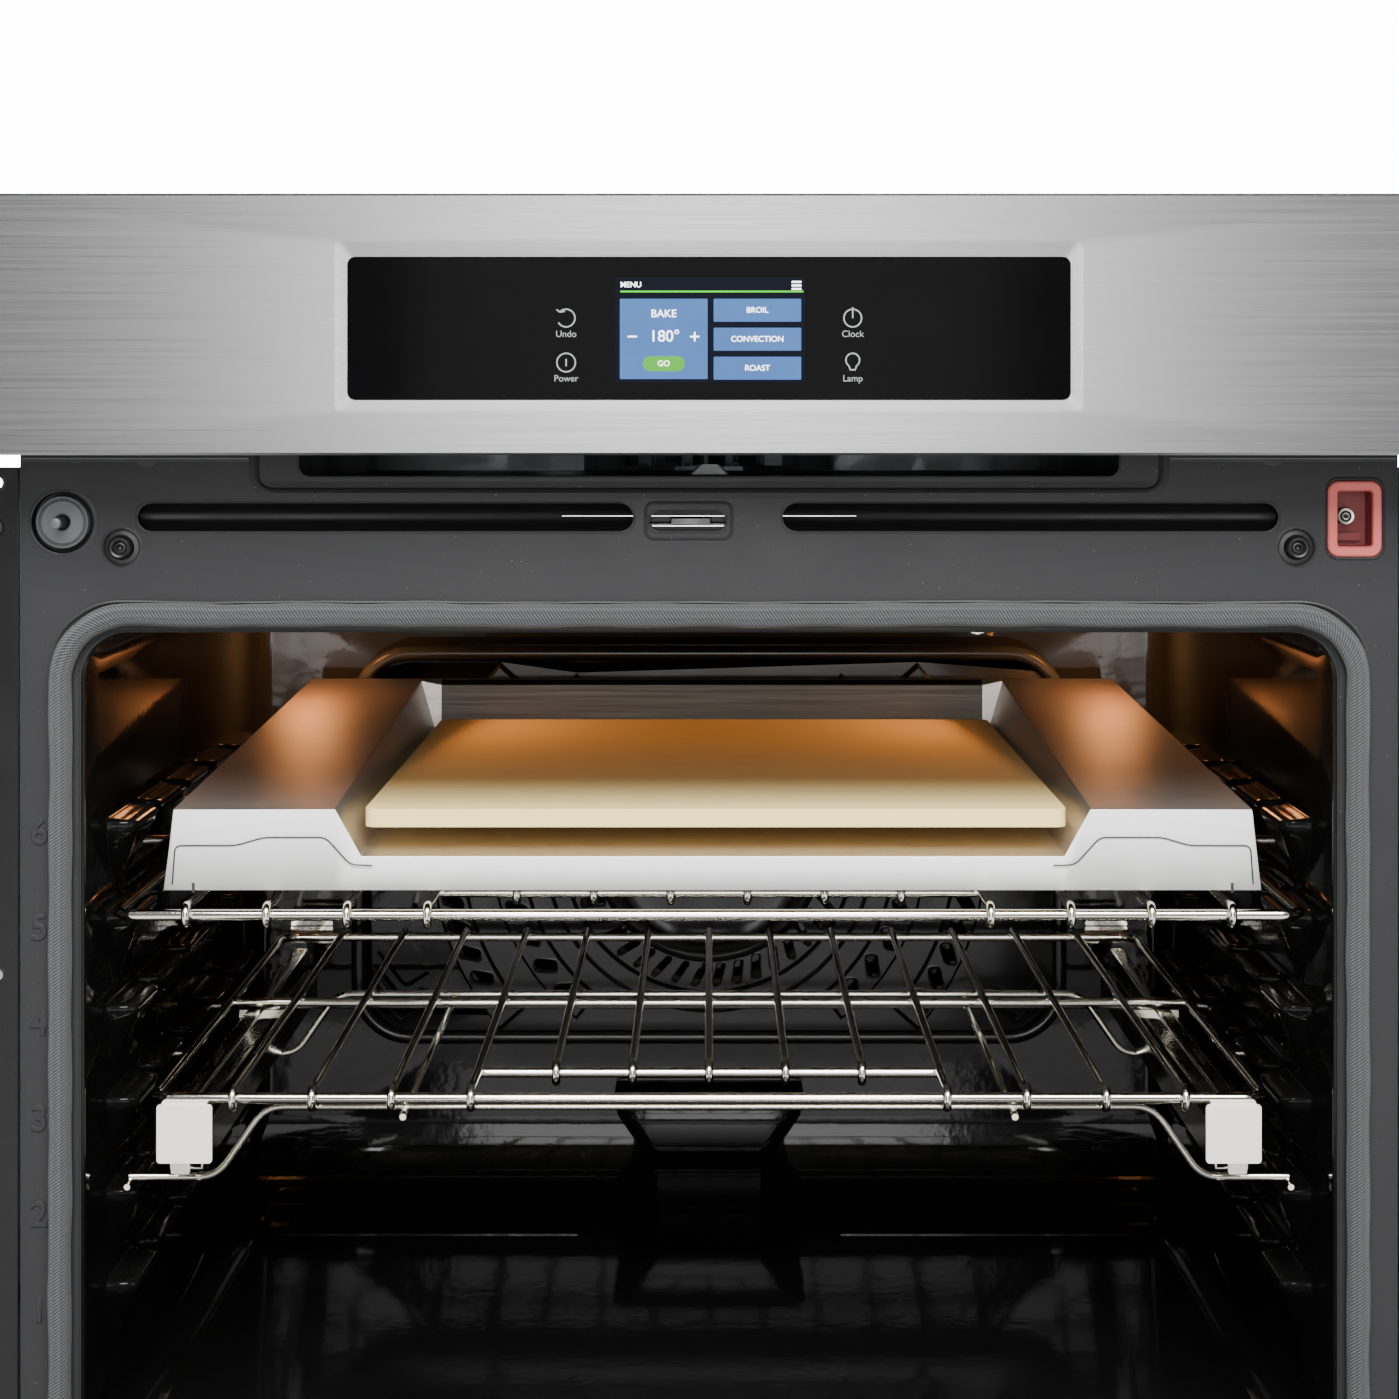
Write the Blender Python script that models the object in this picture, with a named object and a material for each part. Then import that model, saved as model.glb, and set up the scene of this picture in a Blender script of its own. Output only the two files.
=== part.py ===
"""Built-in 30 inch electric wall oven, modelled with its door open.

Metres, +Z up, the front faces -Y.  The origin is the middle of the base pan's underside, the face that
stands on the cabinet's deck.  "Depth" below is the distance behind the front frame's face, which lies
in the plane of the cabinet's front: depth grows into the oven and is negative in front of the frame.
"""

import math

import bmesh
import bpy
from mathutils import Matrix, Vector

# ---------------------------------------------------------------- driving dimensions
OVERALL_WIDTH = 0.762
CHASSIS_WIDTH = 0.710
CHASSIS_HEIGHT = 0.703
CHASSIS_DEPTH = 0.585
SHEET = 0.0015
GAP = 0.0003

PANEL_BOTTOM = 0.588
PANEL_TOP = 0.718
PANEL_FRONT = -0.048
TRIM_BOTTOM = -0.019

CAVITY_HALF_WIDTH = 0.3212
CAVITY_FLOOR = 0.058
CAVITY_TOP = 0.496
CAVITY_DEPTH = 0.5075
CAVITY_CORNER = 0.024
GASKET_HALF_WIDTH = 0.3328
ENAMEL = 0.0012

FAN_CENTRE_Z = 0.305
FAN_COVER_FRONT = CAVITY_DEPTH - 0.025
FAN_SLOTS = 42
FAN_RING_RADIUS = 0.090
RING_SLOT = (0.0165, 0.0052)
BAND_SLOT = (0.0150, 0.0072)
SLOT_BANDS = ((0.141, 9, 5), (0.183, 6, 6))  # radius, pitch in degrees, slots each way from level
LAMP_X = 0.273
LAMP_DEPTH = 0.430
RACK_LEVELS = 6
LEVEL_PITCH = 0.0492
LEVEL_FIVE_TOP = 0.3430
LEDGE_REACH = 0.016
RACK_PITCH = 0.042
BAR_RADIUS = 0.0030
WIRE_RADIUS = 0.0024
TRAY_FLOOR = 0.3750

DOOR_BOTTOM = 0.012
DOOR_TOP = 0.584
DOOR_INNER = -0.010
DOOR_PIVOT_DEPTH = -0.014
DOOR_PIVOT_Z = 0.020
HINGE_X = 0.300
HANDLE_Z = 0.535
HANDLE_STANDOFF = 0.045
HANDLE_RADIUS = 0.0125

FRAME_Y = -CHASSIS_DEPTH / 2
HALF_WIDTH = CHASSIS_WIDTH / 2
HALF_OVERALL = OVERALL_WIDTH / 2

# name: colour, roughness, metallic
FINISHES = {
    "stainless": ((0.60, 0.60, 0.60), 0.30, 1.0),
    "galvanised": ((0.55, 0.57, 0.58), 0.45, 1.0),
    "enamel_grey": ((0.075, 0.075, 0.078), 0.35, 0.0),
    "enamel_black": ((0.020, 0.021, 0.022), 0.12, 0.0),
    "black_glass": ((0.010, 0.010, 0.011), 0.05, 0.0),
    "clear_glass": ((0.30, 0.33, 0.32), 0.05, 0.0),
    "chrome_wire": ((0.72, 0.70, 0.66), 0.12, 1.0),
    "braid": ((0.16, 0.16, 0.165), 0.85, 0.0),
    "rubber": ((0.03, 0.03, 0.03), 0.70, 0.0),
    "red_silicone": ((0.52, 0.14, 0.12), 0.50, 0.0),
    "nickel": ((0.70, 0.69, 0.66), 0.20, 1.0),
    "grey_plastic": ((0.22, 0.22, 0.22), 0.50, 0.0),
    "stone": ((0.80, 0.72, 0.56), 0.85, 0.0),
    "wool": ((0.80, 0.76, 0.62), 0.95, 0.0),
    "board": ((0.04, 0.16, 0.08), 0.50, 0.0),
    "screen": ((0.05, 0.12, 0.30), 0.20, 0.0),
    "element": ((0.10, 0.10, 0.10), 0.60, 1.0),
    "cap_steel": ((0.80, 0.78, 0.72), 0.35, 1.0),
}


# ---------------------------------------------------------------- helpers
def depth(d):
    """The Y of a plane d metres behind the front frame's face."""
    return FRAME_Y + d


def clear_scene():
    for obj in list(bpy.data.objects):
        bpy.data.objects.remove(obj)


def material(name):
    found = bpy.data.materials.get(name)
    if found:
        return found
    colour, roughness, metallic = FINISHES[name]
    made = bpy.data.materials.new(name)
    made.use_nodes = True
    shader = made.node_tree.nodes["Principled BSDF"]
    shader.inputs["Base Color"].default_value = (*colour, 1.0)
    shader.inputs["Roughness"].default_value = roughness
    shader.inputs["Metallic"].default_value = metallic
    return made


def tool_collection():
    """The collection of Boolean tools, which is never rendered."""
    found = bpy.data.collections.get("boolean_tools")
    if found is None:
        found = bpy.data.collections.new("boolean_tools")
        found.hide_render = True
        bpy.context.scene.collection.children.link(found)
    return found


def place(name, mesh, finish, parent=None, smooth=False):
    """A finished object.  Its mesh is in world coordinates, or in its parent empty's."""
    obj = bpy.data.objects.new(name, mesh)
    mesh.materials.append(material(finish))
    bpy.context.scene.collection.objects.link(obj)
    obj.parent = parent
    if smooth:
        mesh.shade_smooth()
        mesh.set_sharp_from_angle(angle=math.radians(35))
    return obj


def boolean(obj, meshes, operation):
    """Joins these meshes to the object, or cuts them out of it, in one modifier."""
    group = bpy.data.collections.new(f"{obj.name}_{operation.lower()}")
    group.hide_render = True
    tool_collection().children.link(group)
    for index, mesh in enumerate(meshes):
        tool = bpy.data.objects.new(f"{group.name}_{index}", mesh)
        tool.hide_render = True
        tool.display_type = "WIRE"
        tool.parent = obj.parent
        group.objects.link(tool)
    modifier = obj.modifiers.new(operation.title(), "BOOLEAN")
    modifier.operation = operation
    modifier.operand_type = "COLLECTION"
    modifier.collection = group
    modifier.solver = "EXACT"
    return obj


def finished(bm, name="mesh"):
    bmesh.ops.recalc_face_normals(bm, faces=bm.faces)
    mesh = bpy.data.meshes.new(name)
    bm.to_mesh(mesh)
    bm.free()
    return mesh


def box(x0, x1, y0, y1, z0, z1):
    bm = bmesh.new()
    size = Matrix.Diagonal((x1 - x0, y1 - y0, z1 - z0, 1.0))
    centre = Matrix.Translation(((x0 + x1) / 2, (y0 + y1) / 2, (z0 + z1) / 2))
    bmesh.ops.create_cube(bm, size=1.0, matrix=centre @ size)
    return finished(bm)


def rounded(u0, u1, v0, v1, radius, steps=3):
    """A rounded rectangle's outline, anticlockwise."""
    points = []
    corners = ((u1, v0, -90), (u1, v1, 0), (u0, v1, 90), (u0, v0, 180))
    for u, v, start in corners:
        cu = u - math.copysign(radius, u - (u0 + u1) / 2)
        cv = v - math.copysign(radius, v - (v0 + v1) / 2)
        for i in range(steps + 1):
            a = math.radians(start + 90 * i / steps)
            points.append((cu + radius * math.cos(a), cv + radius * math.sin(a)))
    return points


def circle(u, v, radius, sides=12):
    turn = 2 * math.pi / sides
    return [
        (u + radius * math.cos(i * turn), v + radius * math.sin(i * turn))
        for i in range(sides)
    ]


def slanted_slot(u, v, angle, length, width):
    """A small slot with pointed ends, turned by angle, for vents."""
    along = Vector((math.cos(angle), math.sin(angle)))
    across = Vector((-along.y, along.x)) * width / 2
    half, shoulder = length / 2, length / 2 - width / 2
    centre = Vector((u, v))
    points = [
        centre + along * half,
        centre + along * shoulder + across,
        centre - along * shoulder + across,
        centre - along * half,
        centre - along * shoulder - across,
        centre + along * shoulder - across,
    ]
    return [tuple(p) for p in points]


def plate(outline, low, high, axis="Y", holes=()):
    """A flat plate: an outline with holes, extruded along an axis.

    The outline's two coordinates are X and Z for axis Y, Y and Z for axis X, X and Y for axis Z."""
    to_world = {
        "Y": lambda u, v, w: (u, w, v),
        "X": lambda u, v, w: (w, u, v),
        "Z": lambda u, v, w: (u, v, w),
    }[axis]
    bm = bmesh.new()
    edges = []
    for loop in (outline, *holes):
        verts = [bm.verts.new(to_world(u, v, low)) for u, v in loop]
        for i, vert in enumerate(verts):
            edges.append(bm.edges.new((vert, verts[(i + 1) % len(verts)])))
    normal = Vector(to_world(0, 0, 1))
    bmesh.ops.triangle_fill(bm, use_beauty=True, edges=edges, normal=normal)
    top = bmesh.ops.extrude_face_region(bm, geom=list(bm.faces))
    moved = [g for g in top["geom"] if isinstance(g, bmesh.types.BMVert)]
    bmesh.ops.translate(bm, verts=moved, vec=normal * (high - low))
    return finished(bm)


def rim(outline, thickness, low, high):
    """A wall that follows a rectangle's outline, inside it, extruded along Y."""
    us, vs = [u for u, _ in outline], [v for _, v in outline]
    inner = rounded(
        min(us) + thickness, max(us) - thickness, min(vs) + thickness, max(vs) - thickness, 0.0005, 1
    )
    return plate(outline, low, high, "Y", [inner])


def tube(points, radius, sides=8, closed=False, squash=None):
    """A round bar along points.  squash is the half depth along Y of an oval section."""
    points = [Vector(p) for p in points]
    count = len(points)
    bm = bmesh.new()
    rings = []
    side = None
    for i, point in enumerate(points):
        before = points[i - 1] if i or closed else point
        after = points[(i + 1) % count] if i + 1 < count or closed else point
        a, b = (point - before).normalized(), (after - point).normalized()
        tangent = (a + b).normalized()
        if side is None:
            helper = Vector((0, 1, 0)) if abs(tangent.y) < 0.9 else Vector((0, 0, 1))
            side = helper
        side = (side - tangent * side.dot(tangent)).normalized()
        other = tangent.cross(side)
        bend = max(0.5, a.dot(tangent)) if a.length else 1.0
        # The mitre stretches the ring only in the plane of the bend.
        outward = (b - a).normalized() if a.length and b.length else Vector()
        ring = []
        for k in range(sides):
            angle = 2 * math.pi * (k + 0.5) / sides
            offset = side * math.cos(angle) + other * math.sin(angle)
            offset = offset + outward * offset.dot(outward) * (1 / bend - 1)
            offset = offset * radius
            if squash:
                offset.y *= squash / radius
            ring.append(bm.verts.new(point + offset))
        rings.append(ring)
    pairs = count if closed else count - 1
    for i in range(pairs):
        first, second = rings[i], rings[(i + 1) % count]
        for k in range(sides):
            n = (k + 1) % sides
            bm.faces.new((first[k], first[n], second[n], second[k]))
    if not closed:
        bm.faces.new(rings[0])
        bm.faces.new(rings[-1])
    return finished(bm)


def turned(profile, centre, axis="Y", sides=16):
    """A solid of revolution.  The profile is (radius, distance along the axis) and closes on the axis."""
    bm = bmesh.new()
    rings = []
    for radius, along in profile:
        if radius == 0:
            rings.append([bm.verts.new((0, 0, along))])
            continue
        rings.append(
            [bm.verts.new((u, v, along)) for u, v in circle(0, 0, radius, sides)]
        )
    for first, second in zip(rings, rings[1:]):
        if len(first) == 1 and len(second) == 1:
            continue
        for k in range(sides):
            n = (k + 1) % sides
            corners = [first[k % len(first)], first[n % len(first)]]
            corners += [second[n % len(second)], second[k % len(second)]]
            unique = list(dict.fromkeys(corners))
            bm.faces.new(unique)
    turn = {
        "Y": Matrix.Rotation(math.radians(-90), 4, "X"),
        "X": Matrix.Rotation(math.radians(90), 4, "Y"),
        "Z": Matrix.Identity(4),
    }[axis]
    bm.transform(Matrix.Translation(centre) @ turn)
    return finished(bm)


def hull(points):
    bm = bmesh.new()
    verts = [bm.verts.new(p) for p in points]
    made = bmesh.ops.convex_hull(bm, input=verts)
    inside = [g for g in made["geom_interior"] if isinstance(g, bmesh.types.BMVert)]
    bmesh.ops.delete(bm, geom=inside, context="VERTS")
    return finished(bm)


def arc_path(points, radius, steps=3):
    """The open path through points, with each corner rounded off."""
    points = [Vector(p) for p in points]
    path = [points[0]]
    for before, corner, after in zip(points, points[1:], points[2:]):
        a, b = (before - corner).normalized(), (after - corner).normalized()
        reach = radius / math.tan(a.angle(b) / 2)
        start, end = corner + a * reach, corner + b * reach
        for i in range(steps + 1):
            t = i / steps
            curve = start * (1 - t) ** 2 + corner * 2 * t * (1 - t) + end * t**2
            path.append(curve)
    path.append(points[-1])
    return path


def both_sides(build):
    """Runs build("left", -1) and build("right", 1)."""
    build("left", -1)
    build("right", 1)


# ---------------------------------------------------------------- outer casing
def build_casing():
    inner = HALF_WIDTH - SHEET - GAP
    back = CHASSIS_DEPTH
    skin = SHEET + GAP

    pan = box(-inner, inner, depth(0.004), depth(back - skin), 0, SHEET)
    base = place("base_pan", pan, "galvanised")
    lips = [
        box(x, x + SHEET, depth(0.022), depth(back - 0.004), 0.0005, 0.022)
        for x in (-inner, inner - SHEET)
    ]
    boolean(base, lips, "UNION")

    def side_panel(side, sign):
        x = sorted((sign * (HALF_WIDTH - SHEET), sign * HALF_WIDTH))
        outline = rounded(depth(0.002), depth(back), 0.0, CHASSIS_HEIGHT - skin, 0.002, 1)
        louvres = [
            rounded(depth(d), depth(d + 0.060), z, z + 0.006, 0.0025, 1)
            for d in (0.30, 0.38, 0.46)
            for z in (0.60, 0.62, 0.64)
        ]
        place(f"{side}_side_panel", plate(outline, *x, "X", louvres), "galvanised")

    both_sides(side_panel)

    rear_outline = rounded(-inner, inner, SHEET + GAP, CHASSIS_HEIGHT - skin, 0.004, 1)
    motor_window = circle(0, FAN_CENTRE_Z, 0.046, 16)
    vents = [
        rounded(x, x + 0.055, z, z + 0.006, 0.0025, 1)
        for x in (-0.20, -0.12, -0.04)
        for z in (0.59, 0.61, 0.63)
    ]
    rear = plate(
        rear_outline,
        depth(back - SHEET),
        depth(back),
        "Y",
        [motor_window, *vents],
    )
    place("rear_panel", rear, "galvanised")

    cover_outline = rounded(-HALF_WIDTH, HALF_WIDTH, depth(0.002), depth(back), 0.004, 1)
    intake = [
        rounded(-0.12 + 0.06 * i, -0.076 + 0.06 * i, depth(0.33), depth(0.338), 0.003, 1)
        for i in range(4)
    ]
    cover = plate(
        cover_outline, CHASSIS_HEIGHT - SHEET, CHASSIS_HEIGHT, "Z", intake
    )
    place("top_cover", cover, "galvanised")

    gland_profile = [
        (0, 0),
        (0.016, 0),
        (0.016, 0.004),
        (0.012, 0.004),
        (0.012, 0.020),
        (0.008, 0.020),
        (0.008, 0.006),
        (0, 0.006),
    ]
    gland_at = (0.250, depth(back + GAP), 0.660)
    place("cable_gland", turned(gland_profile, gland_at), "nickel", smooth=True)


def build_trims():
    """The steel strips that lie on the cabinet's front and carry the fixing screws."""
    face = (depth(-SHEET - GAP), depth(-GAP))

    def side_trim(side, sign):
        edge, top, corner = HALF_WIDTH + GAP, 0.581, 0.007
        outline = [
            (sign * edge, 0.0095),
            (sign * HALF_OVERALL, 0.0095),
            (sign * HALF_OVERALL, top),
            (sign * (edge + corner), top),
            (sign * edge, top + corner * 0.7),
        ]
        holes = [circle(sign * 0.366, z, 0.003, 10) for z in (0.070, 0.320, 0.573)]
        flange = plate(outline, *face, "Y", holes)
        trim = place(f"{side}_side_trim", flange, "enamel_grey")
        leg_x = sorted((sign * edge, sign * (edge + SHEET)))
        leg = box(*leg_x, face[0] + 0.0005, depth(0.028), 0.012, top - 0.004)
        boolean(trim, [leg], "UNION")

    both_sides(side_trim)
    outline = rounded(-HALF_OVERALL, HALF_OVERALL, TRIM_BOTTOM, 0.0085, 0.002, 1)
    slots = [
        rounded(-0.30 + 0.075 * i, -0.24 + 0.075 * i, -0.011, -0.005, 0.0025, 1)
        for i in range(8)
    ]
    place("bottom_trim", plate(outline, *face, "Y", slots), "enamel_grey")


def build_front_frame():
    half, turn_back = HALF_WIDTH - 0.003, 0.020
    holes = [
        rounded(
            -CAVITY_HALF_WIDTH - 0.0020,
            CAVITY_HALF_WIDTH + 0.0020,
            CAVITY_FLOOR,
            CAVITY_TOP,
            CAVITY_CORNER,
            5,
        ),
        rounded(-0.294, -0.039, 0.548, 0.5624, 0.0071),
        rounded(0.038, 0.293, 0.548, 0.5624, 0.0071),
        rounded(-0.0303, 0.0085, 0.5482, 0.5582, 0.0044, 2),
        rounded(-0.211, 0.211, 0.5765, 0.5980, 0.004, 2),
        circle(-0.3328, 0.5526, 0.0178, 16),
        circle(-0.3025, 0.5397, 0.0087),
        circle(0.3025, 0.5397, 0.0087),
        rounded(0.3180, 0.3466, 0.5345, 0.5742, 0.006),
    ]
    for sign in (-1, 1):
        x = sign * HINGE_X
        holes.append(rounded(x - 0.008, x + 0.008, 0.0105, 0.0425, 0.002, 1))
    outline = rounded(-half, half, 0.0095, CHASSIS_HEIGHT - 0.003, 0.004, 2)
    sheet = plate(outline, depth(0), depth(SHEET), "Y", holes)
    frame = place("front_frame", sheet, "enamel_grey")
    flanges = [
        box(x, x + SHEET, depth(0.0005), depth(turn_back), 0.014, CHASSIS_HEIGHT - 0.008)
        for x in (-half, half - SHEET)
    ]
    boolean(frame, flanges, "UNION")

    path = rounded(-GASKET_HALF_WIDTH, GASKET_HALF_WIDTH, 0.0515, 0.5052, 0.034, 6)
    swell = 0.0045
    ring = [(x, depth(-swell - GAP), z) for x, z in path]
    gasket = tube(ring, 0.0060, 10, closed=True, squash=swell)
    place("oven_gasket", gasket, "braid", smooth=True)


def build_front_fittings():
    """What sits in the front frame's holes: the door switch, bumpers and probe socket."""
    switch_at = (-0.3328, depth(0), 0.5526)
    body_profile = [
        (0.0029, 0.004),
        (0.0155, 0.004),
        (0.0155, 0.008),
        (0.0120, 0.008),
        (0.0120, 0.030),
        (0.0029, 0.030),
        (0.0029, 0.004),
    ]
    place("switch_body", ring_of(body_profile, switch_at), "grey_plastic", smooth=True)
    plunger = [(0, -0.0155), (0.0018, -0.0155), (0.0023, -0.0150), (0.0023, 0.016), (0, 0.016)]
    place("switch_plunger", turned(plunger, switch_at, sides=12), "nickel", smooth=True)

    bumper_profile = [
        (0, -0.004),
        (0.0025, -0.004),
        (0.0033, -0.008),
        (0.0060, -0.008),
        (0.0078, -0.003),
        (0.0084, 0.004),
        (0.0084, 0.012),
        (0, 0.012),
    ]

    def bumper(side, sign):
        at = (sign * 0.3025, depth(0), 0.5397)
        place(f"{side}_bumper", turned(bumper_profile, at, sides=14), "rubber", smooth=True)

    both_sides(bumper)

    low, high = (0.3184, 0.5349), (0.3462, 0.5738)
    shell = plate(
        rounded(low[0], high[0], low[1], high[1], 0.0056), depth(-0.001), depth(0.034)
    )
    cup = place("probe_jack_housing", shell, "red_silicone")
    recess = plate(
        rounded(low[0] + 0.005, high[0] - 0.005, low[1] + 0.005, high[1] - 0.005, 0.001, 1),
        depth(-0.005),
        depth(0.026),
    )
    seat = plate(circle(0.3323, 0.5543, 0.0056), depth(0.020), depth(0.040))
    boolean(cup, [recess, seat], "DIFFERENCE")
    jack_profile = [
        (0.0016, 0.018),
        (0.0030, 0.018),
        (0.0030, 0.021),
        (0.0052, 0.021),
        (0.0052, 0.036),
        (0.0016, 0.036),
        (0.0016, 0.018),
    ]
    jack_at = (0.3323, depth(0), 0.5543)
    place("probe_jack", ring_of(jack_profile, jack_at), "nickel", smooth=True)


def ring_of(profile, centre, sides=16, axis="Y"):
    """A turned ring with a hole: the closed profile never meets the axis."""
    return turned(profile, centre, axis, sides)


# ---------------------------------------------------------------- cavity and heating
def ledge_tops():
    return [
        LEVEL_FIVE_TOP + (level - 5) * LEVEL_PITCH for level in range(1, RACK_LEVELS + 1)
    ]


def ledge(sign, top, start, end, drop):
    """A pressed rack ledge: flat on top, tapering down to a point on the wall."""
    wall = sign * (CAVITY_HALF_WIDTH + 0.0006)
    reach = sign * (CAVITY_HALF_WIDTH - LEDGE_REACH)
    slope, middle = 0.012, (start + end) / 2
    tip = min(0.010, (end - start) / 4)
    return hull(
        [
            (wall, depth(start), top),
            (wall, depth(end), top),
            (reach, depth(start + slope), top),
            (reach, depth(end - slope), top),
            (reach, depth(start + slope), top - 0.004),
            (reach, depth(end - slope), top - 0.004),
            (wall, depth(middle - tip), top - drop),
            (wall, depth(middle + tip), top - drop),
        ]
    )


def lamp_hole(x, radius):
    """A drill through the cavity's ceiling and the wool over it, where a lamp sits."""
    return plate(circle(x, depth(LAMP_DEPTH), radius, 12), CAVITY_TOP - 0.004, CAVITY_TOP + 0.034, "Z")


def build_cavity():
    half, front = CAVITY_HALF_WIDTH, SHEET + 0.0004
    back = CAVITY_DEPTH

    def section(grow):
        return rounded(
            -half - grow,
            half + grow,
            CAVITY_FLOOR - grow,
            CAVITY_TOP + grow,
            CAVITY_CORNER + grow,
            5,
        )

    outer = plate(section(ENAMEL), depth(front), depth(back + ENAMEL))
    liner = place("cavity_liner", outer, "enamel_black")
    inner = plate(section(0), depth(front - 0.010), depth(back))
    boolean(liner, [inner], "DIFFERENCE")
    ledges = []
    for sign in (-1, 1):
        for top in ledge_tops():
            ledges.append(ledge(sign, top, 0.045, 0.145, 0.040))
            ledges.append(ledge(sign, top, 0.165, 0.290, 0.018))
            ledges.append(ledge(sign, top, 0.305, 0.430, 0.018))
    wall_in = back + 0.0006
    boss = hull(
        [
            (x, depth(d), z)
            for x, d, z in (
                (-0.070, back - 0.075, CAVITY_FLOOR - 0.0006),
                (0.070, back - 0.075, CAVITY_FLOOR - 0.0006),
                (-0.050, back - 0.060, 0.092),
                (0.050, back - 0.060, 0.092),
                (-0.064, wall_in, 0.136),
                (0.064, wall_in, 0.136),
                (-0.075, wall_in, CAVITY_FLOOR - 0.0006),
                (0.075, wall_in, CAVITY_FLOOR - 0.0006),
            )
        ]
    )
    boolean(liner, [*ledges, boss], "UNION")
    pierced = [(0, FAN_CENTRE_Z, 0.008), (0.190, 0.460, 0.004)]
    pierced += [(x, CAVITY_TOP - 0.008, 0.0050) for x in (-0.045, 0.045)]
    pierced += [(x, FAN_CENTRE_Z + 0.098, 0.0055) for x in (-0.018, 0.018)]
    drills = [
        plate(circle(x, z, r, 12), depth(back - 0.006), depth(back + 0.008))
        for x, z, r in pierced
    ]
    drills += [lamp_hole(x, 0.0195) for x in (-LAMP_X, LAMP_X)]
    boolean(liner, drills, "DIFFERENCE")

    gap, thick = 0.0018, 0.025
    inside = half + gap
    wool = [
        (-inside, 0.062),
        (-inside, CAVITY_TOP + gap),
        (inside, CAVITY_TOP + gap),
        (inside, 0.062),
        (inside + thick, 0.062),
        (inside + thick, CAVITY_TOP + gap + thick),
        (-inside - thick, CAVITY_TOP + gap + thick),
        (-inside - thick, 0.062),
    ]
    wrap = place("insulation_wrap", plate(wool, depth(0.030), depth(back - 0.005)), "wool")
    boolean(wrap, [lamp_hole(x, 0.0200) for x in (-LAMP_X, LAMP_X)], "DIFFERENCE")


def fan_cover_slots():
    """A ring of leaning slots around the fan, and two curved bands of wider slots to each side."""
    slots = []
    for i in range(FAN_SLOTS):
        a = 2 * math.pi * i / FAN_SLOTS
        x, z = FAN_RING_RADIUS * math.cos(a), FAN_CENTRE_Z + FAN_RING_RADIUS * math.sin(a)
        slots.append(slanted_slot(x, z, a - math.radians(22), *RING_SLOT))
    for radius, pitch, reach in SLOT_BANDS:
        for middle in (0, 180):
            for i in range(-reach, reach + 1):
                a = math.radians(middle + i * pitch)
                x, z = radius * math.cos(a), FAN_CENTRE_Z + radius * math.sin(a)
                slots.append(slanted_slot(x, z, a - math.radians(42), *BAND_SLOT))
    return slots


def build_heating():
    low, high = 0.1665, 0.4435
    front, back = FAN_COVER_FRONT, CAVITY_DEPTH - GAP
    outline = rounded(-0.2500, 0.2500, low, high, 0.040, 4)
    inner = rounded(-0.2488, 0.2488, low + ENAMEL, high - ENAMEL, 0.0388, 4)
    face = plate(outline, depth(front), depth(front + ENAMEL), "Y", fan_cover_slots())
    cover = place("fan_cover", face, "enamel_black")
    skirt = plate(outline, depth(front + 0.0006), depth(back), "Y", [inner])
    boolean(cover, [skirt], "UNION")

    wall = CAVITY_DEPTH
    ring_z, ring_d, ring_r = FAN_CENTRE_Z, wall - 0.0150, 0.098
    path = [(-0.018, depth(wall + 0.021), ring_z + ring_r), (-0.018, depth(wall - 0.011), ring_z + ring_r)]
    for i in range(23):
        a = math.radians(101 + 338 * i / 22)
        path.append((ring_r * math.cos(a), depth(ring_d), ring_z + ring_r * math.sin(a)))
    path += [(0.018, depth(wall - 0.011), ring_z + ring_r), (0.018, depth(wall + 0.021), ring_z + ring_r)]
    place("convection_element", tube(path, 0.0034, 8), "element", smooth=True)

    motor_profile = [
        (0.0036, 0.004),
        (0.014, 0.004),
        (0.014, 0.009),
        (0.042, 0.009),
        (0.042, 0.058),
        (0.030, 0.064),
        (0.0036, 0.064),
        (0.0036, 0.004),
    ]
    at = (0, depth(wall), FAN_CENTRE_Z)
    place("convection_motor", ring_of(motor_profile, at, 20), "galvanised", smooth=True)

    fan = turned(
        [(0, -0.0220), (0.012, -0.0220), (0.012, -0.004), (0.003, -0.004), (0.003, 0.056), (0, 0.056)],
        at,
        sides=12,
    )
    wheel = place("convection_fan", fan, "nickel", smooth=True)
    blades = []
    for i in range(8):
        blade = box(0.008, 0.084, -0.0006, 0.0006, -0.0075, 0.0075)
        spin = Matrix.Rotation(math.radians(45 * i), 4, "Y")
        pitch = Matrix.Rotation(math.radians(12), 4, "X")
        upright = Matrix.Rotation(math.radians(90), 4, "X")
        centre = Matrix.Translation((0, depth(wall - 0.0125), FAN_CENTRE_Z))
        blade.transform(centre @ spin @ pitch @ upright)
        blades.append(blade)
    disc = plate(circle(0, FAN_CENTRE_Z, 0.050, 20), depth(wall - 0.0052), depth(wall - 0.0040))
    boolean(wheel, [*blades, disc], "UNION")

    build_bar_element("broil_element", CAVITY_TOP - 0.008, 0.150)
    build_bar_element("bake_element", CAVITY_FLOOR - 0.0135, 0.090)

    def lamp(side, sign):
        profile = [
            (0, -0.0215),
            (0.012, -0.0200),
            (0.021, -0.0150),
            (0.024, -0.0080),
            (0.024, -0.0004),
            (0.0185, -0.0004),
            (0.0185, 0.0190),
            (0.0120, 0.0190),
            (0.0120, 0.0410),
            (0, 0.0410),
        ]
        lamp_at = (sign * LAMP_X, depth(LAMP_DEPTH), CAVITY_TOP)
        place(f"{side}_lamp", turned(profile, lamp_at, "Z", 18), "clear_glass", smooth=True)

    both_sides(lamp)

    sensor = [
        (0, -0.090),
        (0.0024, -0.088),
        (0.0024, -0.004),
        (0.0085, -0.004),
        (0.0085, -0.0004),
        (0.0032, -0.0004),
        (0.0032, 0.025),
        (0, 0.025),
    ]
    sensor_at = (0.190, depth(wall), 0.460)
    place("temperature_sensor", turned(sensor, sensor_at, sides=12), "nickel", smooth=True)


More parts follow.
